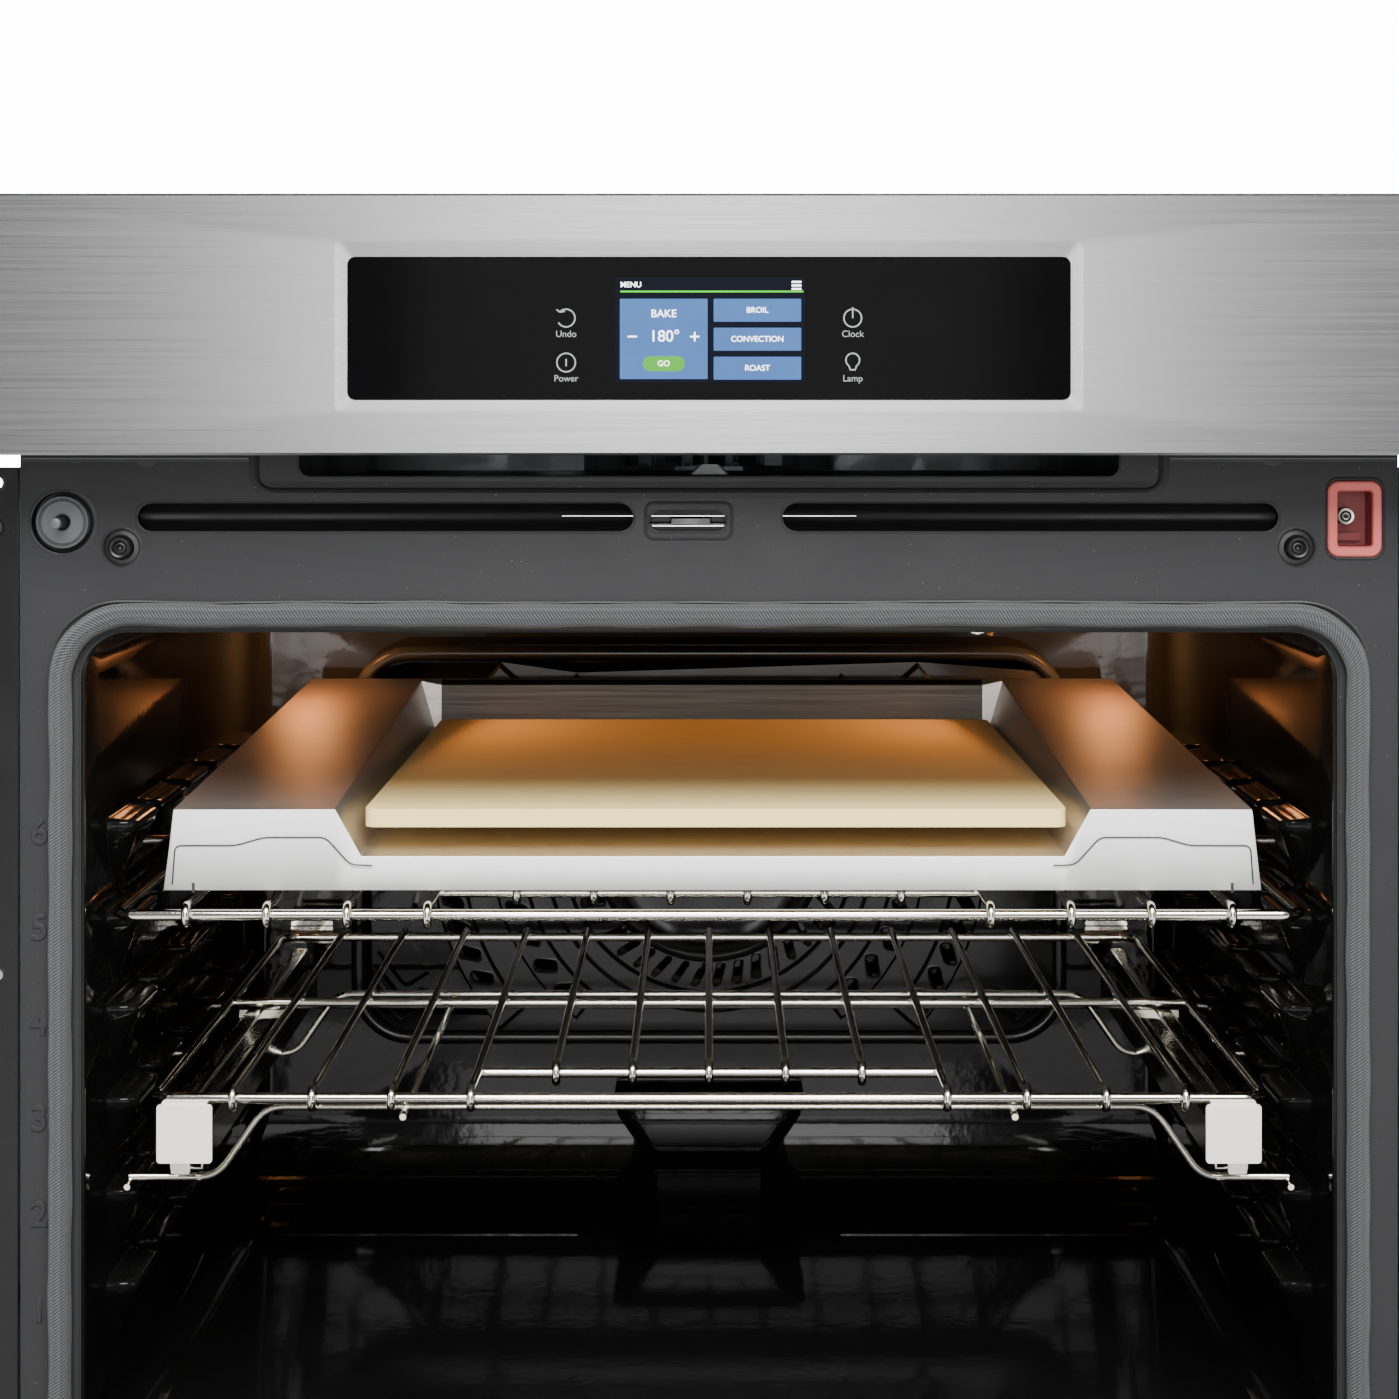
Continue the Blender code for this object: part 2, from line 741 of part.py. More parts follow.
def build_bar_element(name, z, near):
    """A heating bar bent into three loops, with its two ends leaving at the back."""
    tails, far, half, lead = CAVITY_DEPTH + 0.021, CAVITY_DEPTH - 0.090, 0.240, 0.045
    middle = far - 0.060
    left = [
        (-lead, tails),
        (-lead, far),
        (-half, far),
        (-half, near),
        (-half / 2, near),
        (-half / 2, middle),
    ]
    corners = left + [(-x, d) for x, d in reversed(left)]
    path = arc_path([(x, depth(d), z) for x, d in corners], 0.022)
    place(name, tube(path, 0.0038), "element", smooth=True)


# ---------------------------------------------------------------- controls and cooling
def build_controls():
    front, back = PANEL_FRONT, -0.004
    window = rounded(-0.1795, 0.1795, 0.6160, 0.6865, 0.004, 2)
    outline = rounded(-HALF_OVERALL, HALF_OVERALL, PANEL_BOTTOM, PANEL_TOP, 0.0015, 1)
    face = plate(outline, depth(front), depth(front + SHEET), "Y", [window])
    fascia = place("control_fascia", face, "stainless")
    returns = rim(outline, SHEET, depth(front + 0.0005), depth(back))
    boolean(fascia, [returns], "UNION")

    glass = plate(
        rounded(-0.1790, 0.1790, 0.6165, 0.6860, 0.0035, 2), depth(front + 0.0002), depth(front + 0.0032)
    )
    place("control_glass", glass, "black_glass")
    module = box(-0.050, 0.050, depth(front + 0.0035), depth(front + 0.011), 0.620, 0.681)
    place("display_module", module, "screen")
    board = box(-0.160, 0.160, depth(-0.030), depth(-0.0284), 0.600, 0.702)
    board_obj = place("control_board", board, "board")
    parts = [
        box(-0.120, -0.085, depth(-0.0290), depth(-0.012), 0.620, 0.650),
        box(-0.060, -0.040, depth(-0.0290), depth(-0.016), 0.640, 0.680),
        box(0.030, 0.070, depth(-0.0290), depth(-0.018), 0.630, 0.660),
        box(0.100, 0.130, depth(-0.0290), depth(-0.014), 0.650, 0.690),
    ]
    boolean(board_obj, parts, "UNION")


def build_cooling():
    """The exhaust duct under the control space, fed by a blower that pulls air from the casing."""
    low, high, half = 0.5700, 0.6000, 0.215
    outer = rounded(-half, half, low, high, 0.002, 1)
    inner = rounded(-half + SHEET, half - SHEET, low + SHEET, high - SHEET, 0.001, 1)
    duct = plate(outer, depth(SHEET + 0.0005), depth(0.340), "Y", [inner])
    place("air_duct", duct, "galvanised")

    centre = (0, depth(0.430))
    top, bottom = 0.632, 0.567
    shell = plate(circle(*centre, 0.0850, 24), bottom, top, "Z")
    housing = place("blower_housing", shell, "galvanised", smooth=True)
    hollow = plate(circle(*centre, 0.0835, 24), bottom + SHEET, top - SHEET, "Z")
    inlet = plate(circle(*centre, 0.048, 20), top - 0.010, top + 0.010, "Z")
    outlet = box(-0.055, 0.055, depth(0.335), depth(0.400), low + 0.004, high - 0.004)
    boolean(housing, [hollow, inlet, outlet], "DIFFERENCE")

    hub = turned(
        [(0, 0.5715), (0.066, 0.5715), (0.066, 0.5735), (0.011, 0.5735), (0.011, 0.622), (0, 0.622)],
        (*centre, 0),
        "Z",
        20,
    )
    wheel = place("blower_wheel", hub, "galvanised", smooth=True)
    blades = []
    for i in range(16):
        blade = box(0.052, 0.064, -0.0006, 0.0006, 0.5730, 0.6180)
        lean = Matrix.Translation((0.052, 0, 0)) @ Matrix.Rotation(math.radians(35), 4, "Z")
        lean = lean @ Matrix.Translation((-0.052, 0, 0))
        spin = Matrix.Rotation(math.radians(22.5 * i), 4, "Z")
        blade.transform(Matrix.Translation((*centre, 0)) @ spin @ lean)
        blades.append(blade)
    boolean(wheel, blades, "UNION")

    housing_box = box(-0.052, 0.033, depth(0.034), depth(0.110), 0.5270, 0.5505)
    latch = place("latch_housing", housing_box, "galvanised")
    boolean(latch, [box(-0.040, -0.034, depth(0.040), depth(0.100), 0.550, 0.562)], "UNION")
    bar = plate(
        [
            (depth(0.008), 0.5512),
            (depth(0.095), 0.5512),
            (depth(0.095), 0.5542),
            (depth(0.016), 0.5542),
            (depth(0.0135), 0.5556),
            (depth(0.008), 0.5542),
        ],
        -0.0195,
        0.0005,
        "X",
    )
    place("latch_hook", bar, "nickel")


# ---------------------------------------------------------------- hinges and door
def build_hinge_seats():
    pin_at = depth(DOOR_PIVOT_DEPTH)

    def seat(side, sign):
        x = sign * HINGE_X
        cheek = [
            (depth(-0.0205), 0.0125),
            (depth(0.080), 0.0125),
            (depth(0.080), 0.0400),
            (depth(-0.004), 0.0400),
            (depth(-0.0205), 0.0290),
        ]
        hole = circle(pin_at, DOOR_PIVOT_Z, 0.0028, 12)
        first = plate(cheek, x - 0.0062, x - 0.0047, "X", [hole])
        second = plate(cheek, x + 0.0047, x + 0.0062, "X", [hole])
        floor = box(x - 0.0055, x + 0.0055, depth(0.012), depth(0.079), 0.0130, 0.0145)
        receiver = place(f"{side}_hinge_receiver", first, "galvanised")
        boolean(receiver, [second, floor], "UNION")
        pin_profile = [(0, -0.0068), (0.0025, -0.0068), (0.0025, 0.0068), (0, 0.0068)]
        pin = turned(pin_profile, (x, pin_at, DOOR_PIVOT_Z), "X", 12)
        place(f"{side}_hinge_pin", pin, "nickel", smooth=True)

    both_sides(seat)


def door_pivot():
    """The empty on the door's hinge line.  The door is modelled shut and turned down with it."""
    pivot = bpy.data.objects.new("door_pivot", None)
    pivot.location = (0, depth(DOOR_PIVOT_DEPTH), DOOR_PIVOT_Z)
    pivot.rotation_euler = (math.radians(90), 0, 0)
    bpy.context.scene.collection.objects.link(pivot)
    return pivot


def build_door():
    pivot = door_pivot()
    shut = Matrix.Translation((0, -depth(DOOR_PIVOT_DEPTH), -DOOR_PIVOT_Z))

    def fit(name, mesh, finish, smooth=False, joins=()):
        for each in (mesh, *joins):
            each.transform(shut)
        obj = place(name, mesh, finish, pivot, smooth)
        if joins:
            boolean(obj, list(joins), "UNION")
        return obj

    front, inner = PANEL_FRONT, DOOR_INNER
    x, z0, z1, notch = HALF_OVERALL, DOOR_BOTTOM, DOOR_TOP, 0.011
    window = rounded(-0.245, 0.245, 0.150, 0.440, 0.010, 3)
    outline = rounded(-x, x, z0, z1, 0.002, 1)
    face = plate(outline, depth(front), depth(front + SHEET), "Y", [window])
    returns = rim(outline, SHEET, depth(front + 0.0005), depth(-0.012))
    skin = fit("door_outer_skin", face, "stainless", joins=[returns])
    knuckles = [
        box(hinge - notch, hinge + notch, depth(-0.027), depth(0), z0 - 0.004, z0 + 0.004)
        for hinge in (-HINGE_X, HINGE_X)
    ]
    for knuckle in knuckles:
        knuckle.transform(shut)
    boolean(skin, knuckles, "DIFFERENCE")
    fit("door_outer_glass", box(-0.257, 0.257, depth(-0.0462), depth(-0.0422), 0.138, 0.452), "black_glass")

    half, bottom, top = HALF_WIDTH - 0.003, 0.016, 0.577
    edge = [(-half, bottom)]
    for hinge in (-HINGE_X, HINGE_X):
        edge += [(hinge - notch, bottom), (hinge - notch, 0.060)]
        edge += [(hinge + notch, 0.060), (hinge + notch, bottom)]
    edge += [(half, bottom), (half, top), (-half, top)]
    openings = [
        rounded(-0.225, 0.225, 0.170, 0.420, 0.020, 4),
        rounded(-0.030, 0.011, 0.546, 0.560, 0.003, 1),
    ]
    sheet = plate(edge, depth(inner - SHEET), depth(inner), "Y", openings)
    ahead = (depth(-0.026), depth(inner - 0.0005))
    rims = [
        box(-half, -half + SHEET, *ahead, 0.020, top),
        box(half - SHEET, half, *ahead, 0.020, top),
        box(-half + 0.0005, half - 0.0005, *ahead, top - SHEET, top),
    ]
    fit("door_liner", sheet, "enamel_grey", joins=rims)
    fit("door_inner_glass", box(-0.245, 0.245, depth(-0.0160), depth(-0.0118), 0.152, 0.438), "clear_glass")

    bar_y = depth(front - HANDLE_STANDOFF)
    bar_profile = [
        (0, -0.345),
        (HANDLE_RADIUS - 0.001, -0.345),
        (HANDLE_RADIUS, -0.344),
        (HANDLE_RADIUS, 0.344),
        (HANDLE_RADIUS - 0.001, 0.345),
        (0, 0.345),
    ]
    fit("handle_bar", turned(bar_profile, (0, bar_y, HANDLE_Z), "X", 20), "stainless", True)

    def handle_post(side, sign):
        px = sign * 0.315
        reach = bar_y + HANDLE_RADIUS + GAP
        post = hull(
            [
                (px + dx, y, HANDLE_Z + dz)
                for y, w in ((depth(front - GAP), 0.012), (reach, 0.008))
                for dx in (-w, w)
                for dz in (-w * 0.8, w * 0.8)
            ]
        )
        fit(f"{side}_handle_post", post, "stainless")

    both_sides(handle_post)

    def hinge_arm(side, sign):
        ax = sign * HINGE_X
        py, pz = depth(DOOR_PIVOT_DEPTH), DOOR_PIVOT_Z
        outline = [
            (py - 0.0055, pz - 0.0055),
            (py + 0.0040, pz - 0.0055),
            (py + 0.0045, pz + 0.0060),
            (py - 0.0020, pz + 0.0500),
            (py - 0.0060, pz + 0.1900),
            (py - 0.0180, pz + 0.1900),
            (py - 0.0180, pz + 0.0300),
        ]
        arm = plate(outline, ax - 0.0015, ax + 0.0015, "X", [circle(py, pz, 0.0028, 12)])
        fit(f"{side}_hinge_arm", arm, "nickel")

    both_sides(hinge_arm)


# ---------------------------------------------------------------- racks
def wire_rack(name, z, half, depths, wire_count, short_wires):
    """A welded wire rack whose middle wires stop at a bar set back from the front bar.

    depths are those of the front bar, the bar set back, the middle bar and the rear bar."""
    front, recess, middle, back = (depth(d) for d in depths)
    rails = rounded(-half, half, front, back, 0.012, 3)
    frame = tube([(x, y, z) for x, y in rails], BAR_RADIUS, 8, closed=True)
    rack = place(name, frame, "chrome_wire", smooth=True)
    first = -(wire_count - 1) / 2
    wire_z = z + BAR_RADIUS + WIRE_RADIUS - 0.0010
    wires = []
    for i in range(wire_count):
        x = (first + i) * RACK_PITCH
        inner = abs(first + i) <= (short_wires - 1) / 2
        start = recess if inner else front
        wires.append(tube([(x, start, wire_z), (x, back, wire_z)], WIRE_RADIUS, 6))
    reach = (short_wires + 1) / 2 * RACK_PITCH
    bars = [
        tube([(-x, y, z), (x, y, z)], BAR_RADIUS * 0.9, 8)
        for x, y in ((reach, recess), (half, middle))
    ]
    return boolean(rack, [*wires, *bars], "UNION")


def build_pizza_tray(base_z):
    """A folded steel tray: two raised wings and a low middle that holds the stone."""
    near, far, centre, wall = 0.0425, 0.4680, 0.002, 0.0025
    front_top, back_top, lip = 0.3985, 0.4240, 0.3735
    rows = [near - wall, near, near + 0.008, far - 0.0115, far - 0.0105, far - 0.0040, far, far + wall]
    bm = bmesh.new()
    grid = []
    for j, d in enumerate(rows):
        run = min(1.0, max(0.0, (d - near) / (far - near)))
        edge = 0.2865 - 0.009 * run
        halves = [edge + 0.0045, edge, 0.2005, 0.1867]
        offsets = [-h for h in halves] + halves[::-1]
        line = []
        for i, offset in enumerate(offsets):
            z = front_top + (back_top - front_top) * run
            if i in (3, 4) and j in (1, 2, 3, 4):
                z = (lip, TRAY_FLOOR, TRAY_FLOOR, TRAY_FLOOR + 0.0240)[j - 1]
            if j in (0, len(rows) - 1) or i in (0, len(offsets) - 1):
                z = base_z + SHEET
            line.append(bm.verts.new((centre + offset, depth(d), z)))
        grid.append(line)
    for low_row, high_row in zip(grid, grid[1:]):
        for i in range(len(low_row) - 1):
            bm.faces.new((low_row[i], low_row[i + 1], high_row[i + 1], high_row[i]))
    tray = place("pizza_tray", finished(bm), "stainless")
    skin = tray.modifiers.new("Sheet", "SOLIDIFY")
    skin.thickness = ENAMEL
    skin.offset = -1.0
    foot = [(0, -0.0010), (0.016, -0.0010), (0.010, 0.0125), (0, 0.0125)]
    bosses = [
        turned(foot, (x, depth(d), TRAY_FLOOR), "Z")
        for x in (-0.12, 0.124)
        for d in (0.11, 0.39)
    ]
    boolean(tray, bosses, "UNION")

    bottom = TRAY_FLOOR + 0.0125 + GAP
    outline = rounded(-0.1840, 0.1910, depth(0.0490), depth(0.4530), 0.006, 2)
    place("pizza_stone", plate(outline, bottom, bottom + 0.0097, "Z"), "stone")


def build_glide_rack():
    rack_z = 0.2457
    wire_rack("glide_rack", rack_z, 0.2950, (0.0400, 0.0935, 0.2635, 0.4620), 13, 5)

    rail_x, rail_z, wire = 0.3085, 0.1985, 0.0022
    low_z, high_z = 0.2022, rack_z - BAR_RADIUS - wire - 0.0007
    start, end = depth(0.040), depth(0.462)
    rails = [
        tube([(x, start, rail_z), (x, end, rail_z)], BAR_RADIUS, 8) for x in (-rail_x, rail_x)
    ]
    base = place("glide_base", rails[0], "chrome_wire", smooth=True)
    hump = [
        (-rail_x, low_z),
        (-0.262, low_z),
        (-0.236, high_z),
        (0.236, high_z),
        (0.262, low_z),
        (rail_x, low_z),
    ]
    crossing = [
        tube(arc_path([(x, depth(d), z) for x, z in hump], 0.008), wire, 8)
        for d in (0.0465, 0.3130)
    ]
    low_bar = tube([(-rail_x, depth(0.445), low_z), (rail_x, depth(0.445), low_z)], wire, 8)
    lengthwise = [
        tube([(x, depth(0.0375), high_z - 0.0035), (x, depth(0.318), high_z - 0.0035)], wire, 8)
        for x in (-0.162, 0.162)
    ]
    boolean(base, [rails[1], *crossing, low_bar, *lengthwise], "UNION")

    def slide(side, sign):
        inner, outer, low, high = 0.2700, 0.2880, 0.2048, 0.2248
        section = [
            (inner, low),
            (outer, low),
            (outer, high),
            (outer - SHEET, high),
            (outer - SHEET, low + SHEET),
            (inner + SHEET, low + SHEET),
            (inner + SHEET, high),
            (inner, high),
        ]
        channel = [(sign * x, z) for x, z in section]
        place(f"{side}_slide_rail", plate(channel, depth(0.050), depth(0.455)), "cap_steel")
        top = rack_z - BAR_RADIUS - 0.0005
        bar_x = sorted((sign * 0.2740, sign * 0.2840))
        bar = box(*bar_x, depth(0.0345), depth(0.440), low + 0.0020, top)
        runner = place(f"{side}_slide_runner", bar, "cap_steel")
        cap_x = sorted((sign * 0.2620, sign * 0.2916))
        cap = box(*cap_x, depth(0.0330), depth(0.0365), 0.2130, 0.2450)
        boolean(runner, [cap], "UNION")

    both_sides(slide)


def main():
    clear_scene()
    build_casing()
    build_trims()
    build_front_frame()
    build_front_fittings()
    build_cavity()
    build_heating()
    build_controls()
    build_cooling()
    build_hinge_seats()
    build_door()
    rack_z = LEVEL_FIVE_TOP + GAP + BAR_RADIUS
    wire_rack("upper_rack", rack_z, 0.3110, (0.0220, 0.0860, 0.2600, 0.4375), 14, 6)
    build_pizza_tray(rack_z + BAR_RADIUS + 2 * WIRE_RADIUS - 0.0010 + GAP)
    build_glide_rack()


main()
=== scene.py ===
"""Looks of the built-in wall oven.

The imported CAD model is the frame: every place below comes from a node's box or is a real size in
metres.  Detailed pieces stand for the CAD nodes that show, and ride on the bodies those nodes are in.
"Depth" is the distance behind the front frame's face, as in the CAD source.
"""

import math

import bmesh
import bpy
from mathutils import Matrix, Vector, noise


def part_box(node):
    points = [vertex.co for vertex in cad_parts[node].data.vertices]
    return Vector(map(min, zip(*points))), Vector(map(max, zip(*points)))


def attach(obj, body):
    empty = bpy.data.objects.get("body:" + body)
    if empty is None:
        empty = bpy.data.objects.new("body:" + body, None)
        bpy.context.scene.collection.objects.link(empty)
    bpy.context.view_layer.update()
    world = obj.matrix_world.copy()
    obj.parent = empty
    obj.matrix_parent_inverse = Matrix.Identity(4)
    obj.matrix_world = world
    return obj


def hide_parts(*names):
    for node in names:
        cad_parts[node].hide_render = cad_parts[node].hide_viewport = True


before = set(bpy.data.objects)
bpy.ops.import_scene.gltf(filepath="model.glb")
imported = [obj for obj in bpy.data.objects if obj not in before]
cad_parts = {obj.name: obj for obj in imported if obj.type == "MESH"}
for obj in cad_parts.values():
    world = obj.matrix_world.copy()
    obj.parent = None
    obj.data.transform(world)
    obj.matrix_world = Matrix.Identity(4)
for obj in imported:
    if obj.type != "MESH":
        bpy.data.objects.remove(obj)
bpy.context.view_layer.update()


# ---------------------------------------------------------------- places read from the frame
def low(node):
    return Vector(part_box(node)[0])


def high(node):
    return Vector(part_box(node)[1])


FRONT = low("front_frame").y
HALF_WIDTH = high("right_side_panel").x
HALF_OVERALL = high("control_fascia").x
FASCIA_FRONT = low("control_fascia").y
FASCIA_LOW, FASCIA_HIGH = low("control_fascia").z, high("control_fascia").z
CAVITY_BACK = high("cavity_liner").y - 0.0012
CAVITY_HALF = high("cavity_liner").x - 0.0012
CAVITY_LOW = low("cavity_liner").z + 0.0012
CAVITY_HIGH = high("cavity_liner").z - 0.0012
FAN_Z = (low("convection_fan").z + high("convection_fan").z) / 2
LEVEL_PITCH = 0.0492
LEVEL_TOPS = [0.3430 + (level - 5) * LEVEL_PITCH for level in range(1, 7)]
RACK_PITCH = 0.042
LEDGE_DROP = 0.0012   # the drawn ledges lie this far under their level, clear of the rack's wires
COVER_LIP = 0.0040    # reach of the rolled slot edges behind the fan's cover, short of the vanes
SHAFT_HOLE = 0.0150   # radius of the hole for the fan's shaft in the rear wall
BUMPER_X, BUMPER_Z = 0.3025, 0.5397
SWITCH_X, SWITCH_Z = -0.3328, 0.5526
PIN_HOLE = 0.0035     # radius of the hole for the switch's pin


def depth(d):
    """The Y of a plane d metres behind the front frame's face."""
    return FRONT + d


# ---------------------------------------------------------------- materials
def linear(*rgb):
    """Display colour 0-255 to the linear values that shaders take."""
    return tuple(((c / 255 + 0.055) / 1.055) ** 2.4 if c > 10 else c / 255 / 12.92 for c in rgb)


class Surface:
    """A Principled material, built up from procedural nodes in object coordinates."""

    def __init__(self, name, colour, roughness, metallic=0.0, uv=False, **sockets):
        self.material = bpy.data.materials.new(name)
        self.material.use_nodes = True
        self.tree = self.material.node_tree
        self.shader = self.tree.nodes["Principled BSDF"]
        self.shader.inputs["Base Color"].default_value = (*colour, 1.0)
        self.shader.inputs["Roughness"].default_value = roughness
        self.shader.inputs["Metallic"].default_value = metallic
        for socket, value in sockets.items():
            self.shader.inputs[socket.replace("_", " ")].default_value = value
        self.colour, self.roughness = colour, roughness
        self.place = self.add("ShaderNodeTexCoord").outputs["UV" if uv else "Object"]

    def add(self, kind, **settings):
        node = self.tree.nodes.new(kind)
        for key, value in settings.items():
            if key.startswith("in_"):
                node.inputs[key[3:].replace("_", " ")].default_value = value
            else:
                setattr(node, key, value)
        return node

    def link(self, source, target):
        self.tree.links.new(source, target)
        return self

    def stretched(self, scale):
        mapping = self.add("ShaderNodeMapping", in_Scale=scale)
        self.link(self.place, mapping.inputs["Vector"])
        return mapping.outputs["Vector"]

    def noise(self, scale, stretch=(1, 1, 1), detail=3.0):
        node = self.add("ShaderNodeTexNoise", in_Scale=scale, in_Detail=detail)
        self.link(self.stretched(stretch), node.inputs["Vector"])
        return node.outputs["Fac"]

    def math(self, operation, a, b=0.0, c=None):
        node = self.add("ShaderNodeMath", operation=operation)
        for socket, value in zip(node.inputs, (a, b, c)):
            if value is None:
                continue
            if isinstance(value, (int, float)):
                socket.default_value = value
            else:
                self.link(value, socket)
        return node.outputs[0]

    def span(self, value, low_in, high_in, low_out, high_out):
        node = self.add("ShaderNodeMapRange", clamp=True)
        for socket, number in zip(list(node.inputs)[1:5], (low_in, high_in, low_out, high_out)):
            socket.default_value = number
        self.link(value, node.inputs["Value"])
        return node.outputs["Result"]

    def tint(self, factor, colour):
        """Mixes the base colour so far towards another one."""
        node = self.add("ShaderNodeMix", data_type="RGBA")
        before = self.shader.inputs["Base Color"]
        if before.is_linked:
            self.link(before.links[0].from_socket, node.inputs["A"])
        else:
            node.inputs["A"].default_value = before.default_value
        node.inputs["B"].default_value = (*colour, 1.0)
        self.link(factor, node.inputs["Factor"])
        return self.link(node.outputs["Result"], before)

    def vary(self, value, spread):
        """Varies the roughness by up to spread with a 0-1 value."""
        rough = self.span(value, 0.3, 0.7, self.roughness - spread, self.roughness + spread)
        return self.link(rough, self.shader.inputs["Roughness"])

    def bump(self, height, strength, distance=0.001):
        node = self.add("ShaderNodeBump", in_Strength=strength, in_Distance=distance)
        self.link(height, node.inputs["Height"])
        before = self.shader.inputs["Normal"]
        if before.is_linked:
            self.link(before.links[0].from_socket, node.inputs["Normal"])
        return self.link(node.outputs["Normal"], before)


def brushed(name, colour, roughness, along=(1.5, 260, 260), streak=0.10, shade=0.86, metallic=1.0,
            uneven=0.07):
    """Stainless steel with brush lines along one axis, faint cloudy marks and a few darker streaks."""
    s = Surface(name, colour, roughness, metallic)
    lines = s.noise(5.0, along, 4.0)
    fine = s.noise(14.0, along, 2.0)
    s.vary(lines, uneven)
    s.tint(s.span(lines, 0.35, 0.68, 0.0, 1.0), tuple(c * shade for c in colour))
    s.tint(s.span(s.noise(3.0, (1, 1, 1), 2.0), 0.45, 0.75, 0.0, 0.35), tuple(c * 0.93 for c in colour))
    s.bump(lines, streak, 0.0002)
    return s.bump(fine, streak * 0.6, 0.0001).material


def enamel(name, colour, roughness, specks, peel=0.05, coat=0.0, gloss=0.5):
    """Porcelain enamel: a glassy coat with an orange-peel ripple and tiny pale specks."""
    s = Surface(name, colour, roughness, Coat_Weight=coat, Coat_Roughness=0.06, Specular_IOR_Level=gloss)
    s.bump(s.noise(95.0, (1, 1, 1), 2.0), peel, 0.001)
    s.vary(s.noise(22.0), roughness * 0.18)
    if specks:
        for scale, size, share in ((420.0, 0.080, 0.70), (200.0, 0.045, 0.55)):
            cells = s.add("ShaderNodeTexVoronoi", in_Scale=scale)
            s.link(s.place, cells.inputs["Vector"])
            split = s.add("ShaderNodeSeparateColor")
            s.link(cells.outputs["Color"], split.inputs["Color"])
            near = s.math("LESS_THAN", cells.outputs["Distance"], size)
            chosen = s.math("GREATER_THAN", split.outputs["Red"], share)
            level = s.math("MULTIPLY", s.math("MULTIPLY", near, chosen), split.outputs["Green"])
            s.tint(s.math("MULTIPLY", level, specks), (0.50, 0.51, 0.52))
    return s.material


def plated(name, colour, roughness, grain=60.0):
    """Bright plated wire or hardware with faint drawing marks and handling haze."""
    s = Surface(name, colour, roughness, 1.0)
    haze = s.noise(grain, (1, 1, 1), 4.0)
    s.vary(haze, roughness * 0.4)
    s.tint(s.span(haze, 0.45, 0.75, 0.0, 0.5), tuple(c * 0.84 for c in colour))
    return s.bump(s.noise(grain * 9), 0.06, 0.0003).material


def zinc_sheet():
    """Galvanised sheet with the crystal spangle of its zinc."""
    s = Surface("galvanised sheet", (0.55, 0.57, 0.59), 0.42, 1.0)
    cells = s.add("ShaderNodeTexVoronoi", in_Scale=75.0)
    s.link(s.place, cells.inputs["Vector"])
    split = s.add("ShaderNodeSeparateColor")
    s.link(cells.outputs["Color"], split.inputs["Color"])
    s.tint(s.math("MULTIPLY", split.outputs["Red"], 0.5), (0.36, 0.38, 0.41))
    s.vary(split.outputs["Green"], 0.08)
    return s.bump(s.noise(300.0), 0.05, 0.0004).material


def woven_braid():
    """The gasket's braid: rows of small stitches along its length, in UV metres."""
    s = Surface("gasket braid", linear(70, 71, 72), 0.66, 0.2, uv=True, Sheen_Weight=0.1)
    split = s.add("ShaderNodeSeparateXYZ")
    s.link(s.place, split.inputs["Vector"])
    length, around = split.outputs["X"], split.outputs["Y"]
    row = s.math("MULTIPLY", around, 2 * math.pi / 0.0013)
    stitch = s.math("MULTIPLY", length, 2 * math.pi / 0.0017)
    lean = s.math("ADD", stitch, s.math("MULTIPLY", row, 0.5))
    weave = s.math("MULTIPLY", s.math("SINE", row), s.math("SINE", lean))
    ribs = s.math("SINE", s.math("MULTIPLY", around, 2 * math.pi / 0.0039))
    s.tint(s.span(weave, 0.15, 0.9, 0.0, 0.75), linear(142, 143, 144))
    s.tint(s.span(weave, -0.1, -0.9, 0.0, 0.85), linear(26, 27, 28))
    s.tint(s.span(ribs, 0.1, 1.0, 0.0, 0.30), linear(44, 45, 46))
    s.bump(weave, 0.8, 0.0006)
    return s.bump(ribs, 0.35, 0.0006).material


def fired_stone():
    s = Surface("baking stone", linear(255, 226, 156), 0.88)
    s.tint(s.span(s.noise(9.0, (1, 1, 1), 3.0), 0.4, 0.7, 0.0, 0.30), linear(250, 224, 152))
    s.tint(s.span(s.noise(900.0), 0.60, 0.75, 0.0, 0.40), linear(232, 202, 134))
    return s.bump(s.noise(650.0, (1, 1, 1), 5.0), 0.25, 0.0004).material


def moulded(name, colour, roughness, grain=500.0, **sockets):
    """Moulded rubber or plastic with a fine grain and uneven sheen."""
    s = Surface(name, colour, roughness, **sockets)
    s.vary(s.noise(40.0), 0.06)
    s.tint(s.span(s.noise(70.0), 0.5, 0.8, 0.0, 0.4), tuple(c * 0.8 for c in colour))
    return s.bump(s.noise(grain), 0.12, 0.0004).material


def control_pane():
    s = Surface("control glass", (0.0022, 0.0022, 0.0024), 0.10, Specular_IOR_Level=0.02)
    s.tint(s.span(s.noise(12.0), 0.55, 0.8, 0.0, 0.5), (0.0045, 0.0045, 0.005))
    return s.vary(s.noise(25.0), 0.02).material


def clear_pane(name, colour, alpha):
    """Tinted oven glass: mostly see-through, with a faint smear in its gloss."""
    s = Surface(name, colour, 0.05, Alpha=alpha, Specular_IOR_Level=0.6)
    s.vary(s.noise(18.0), 0.02)
    s.material.surface_render_method = "BLENDED"
    return s.material


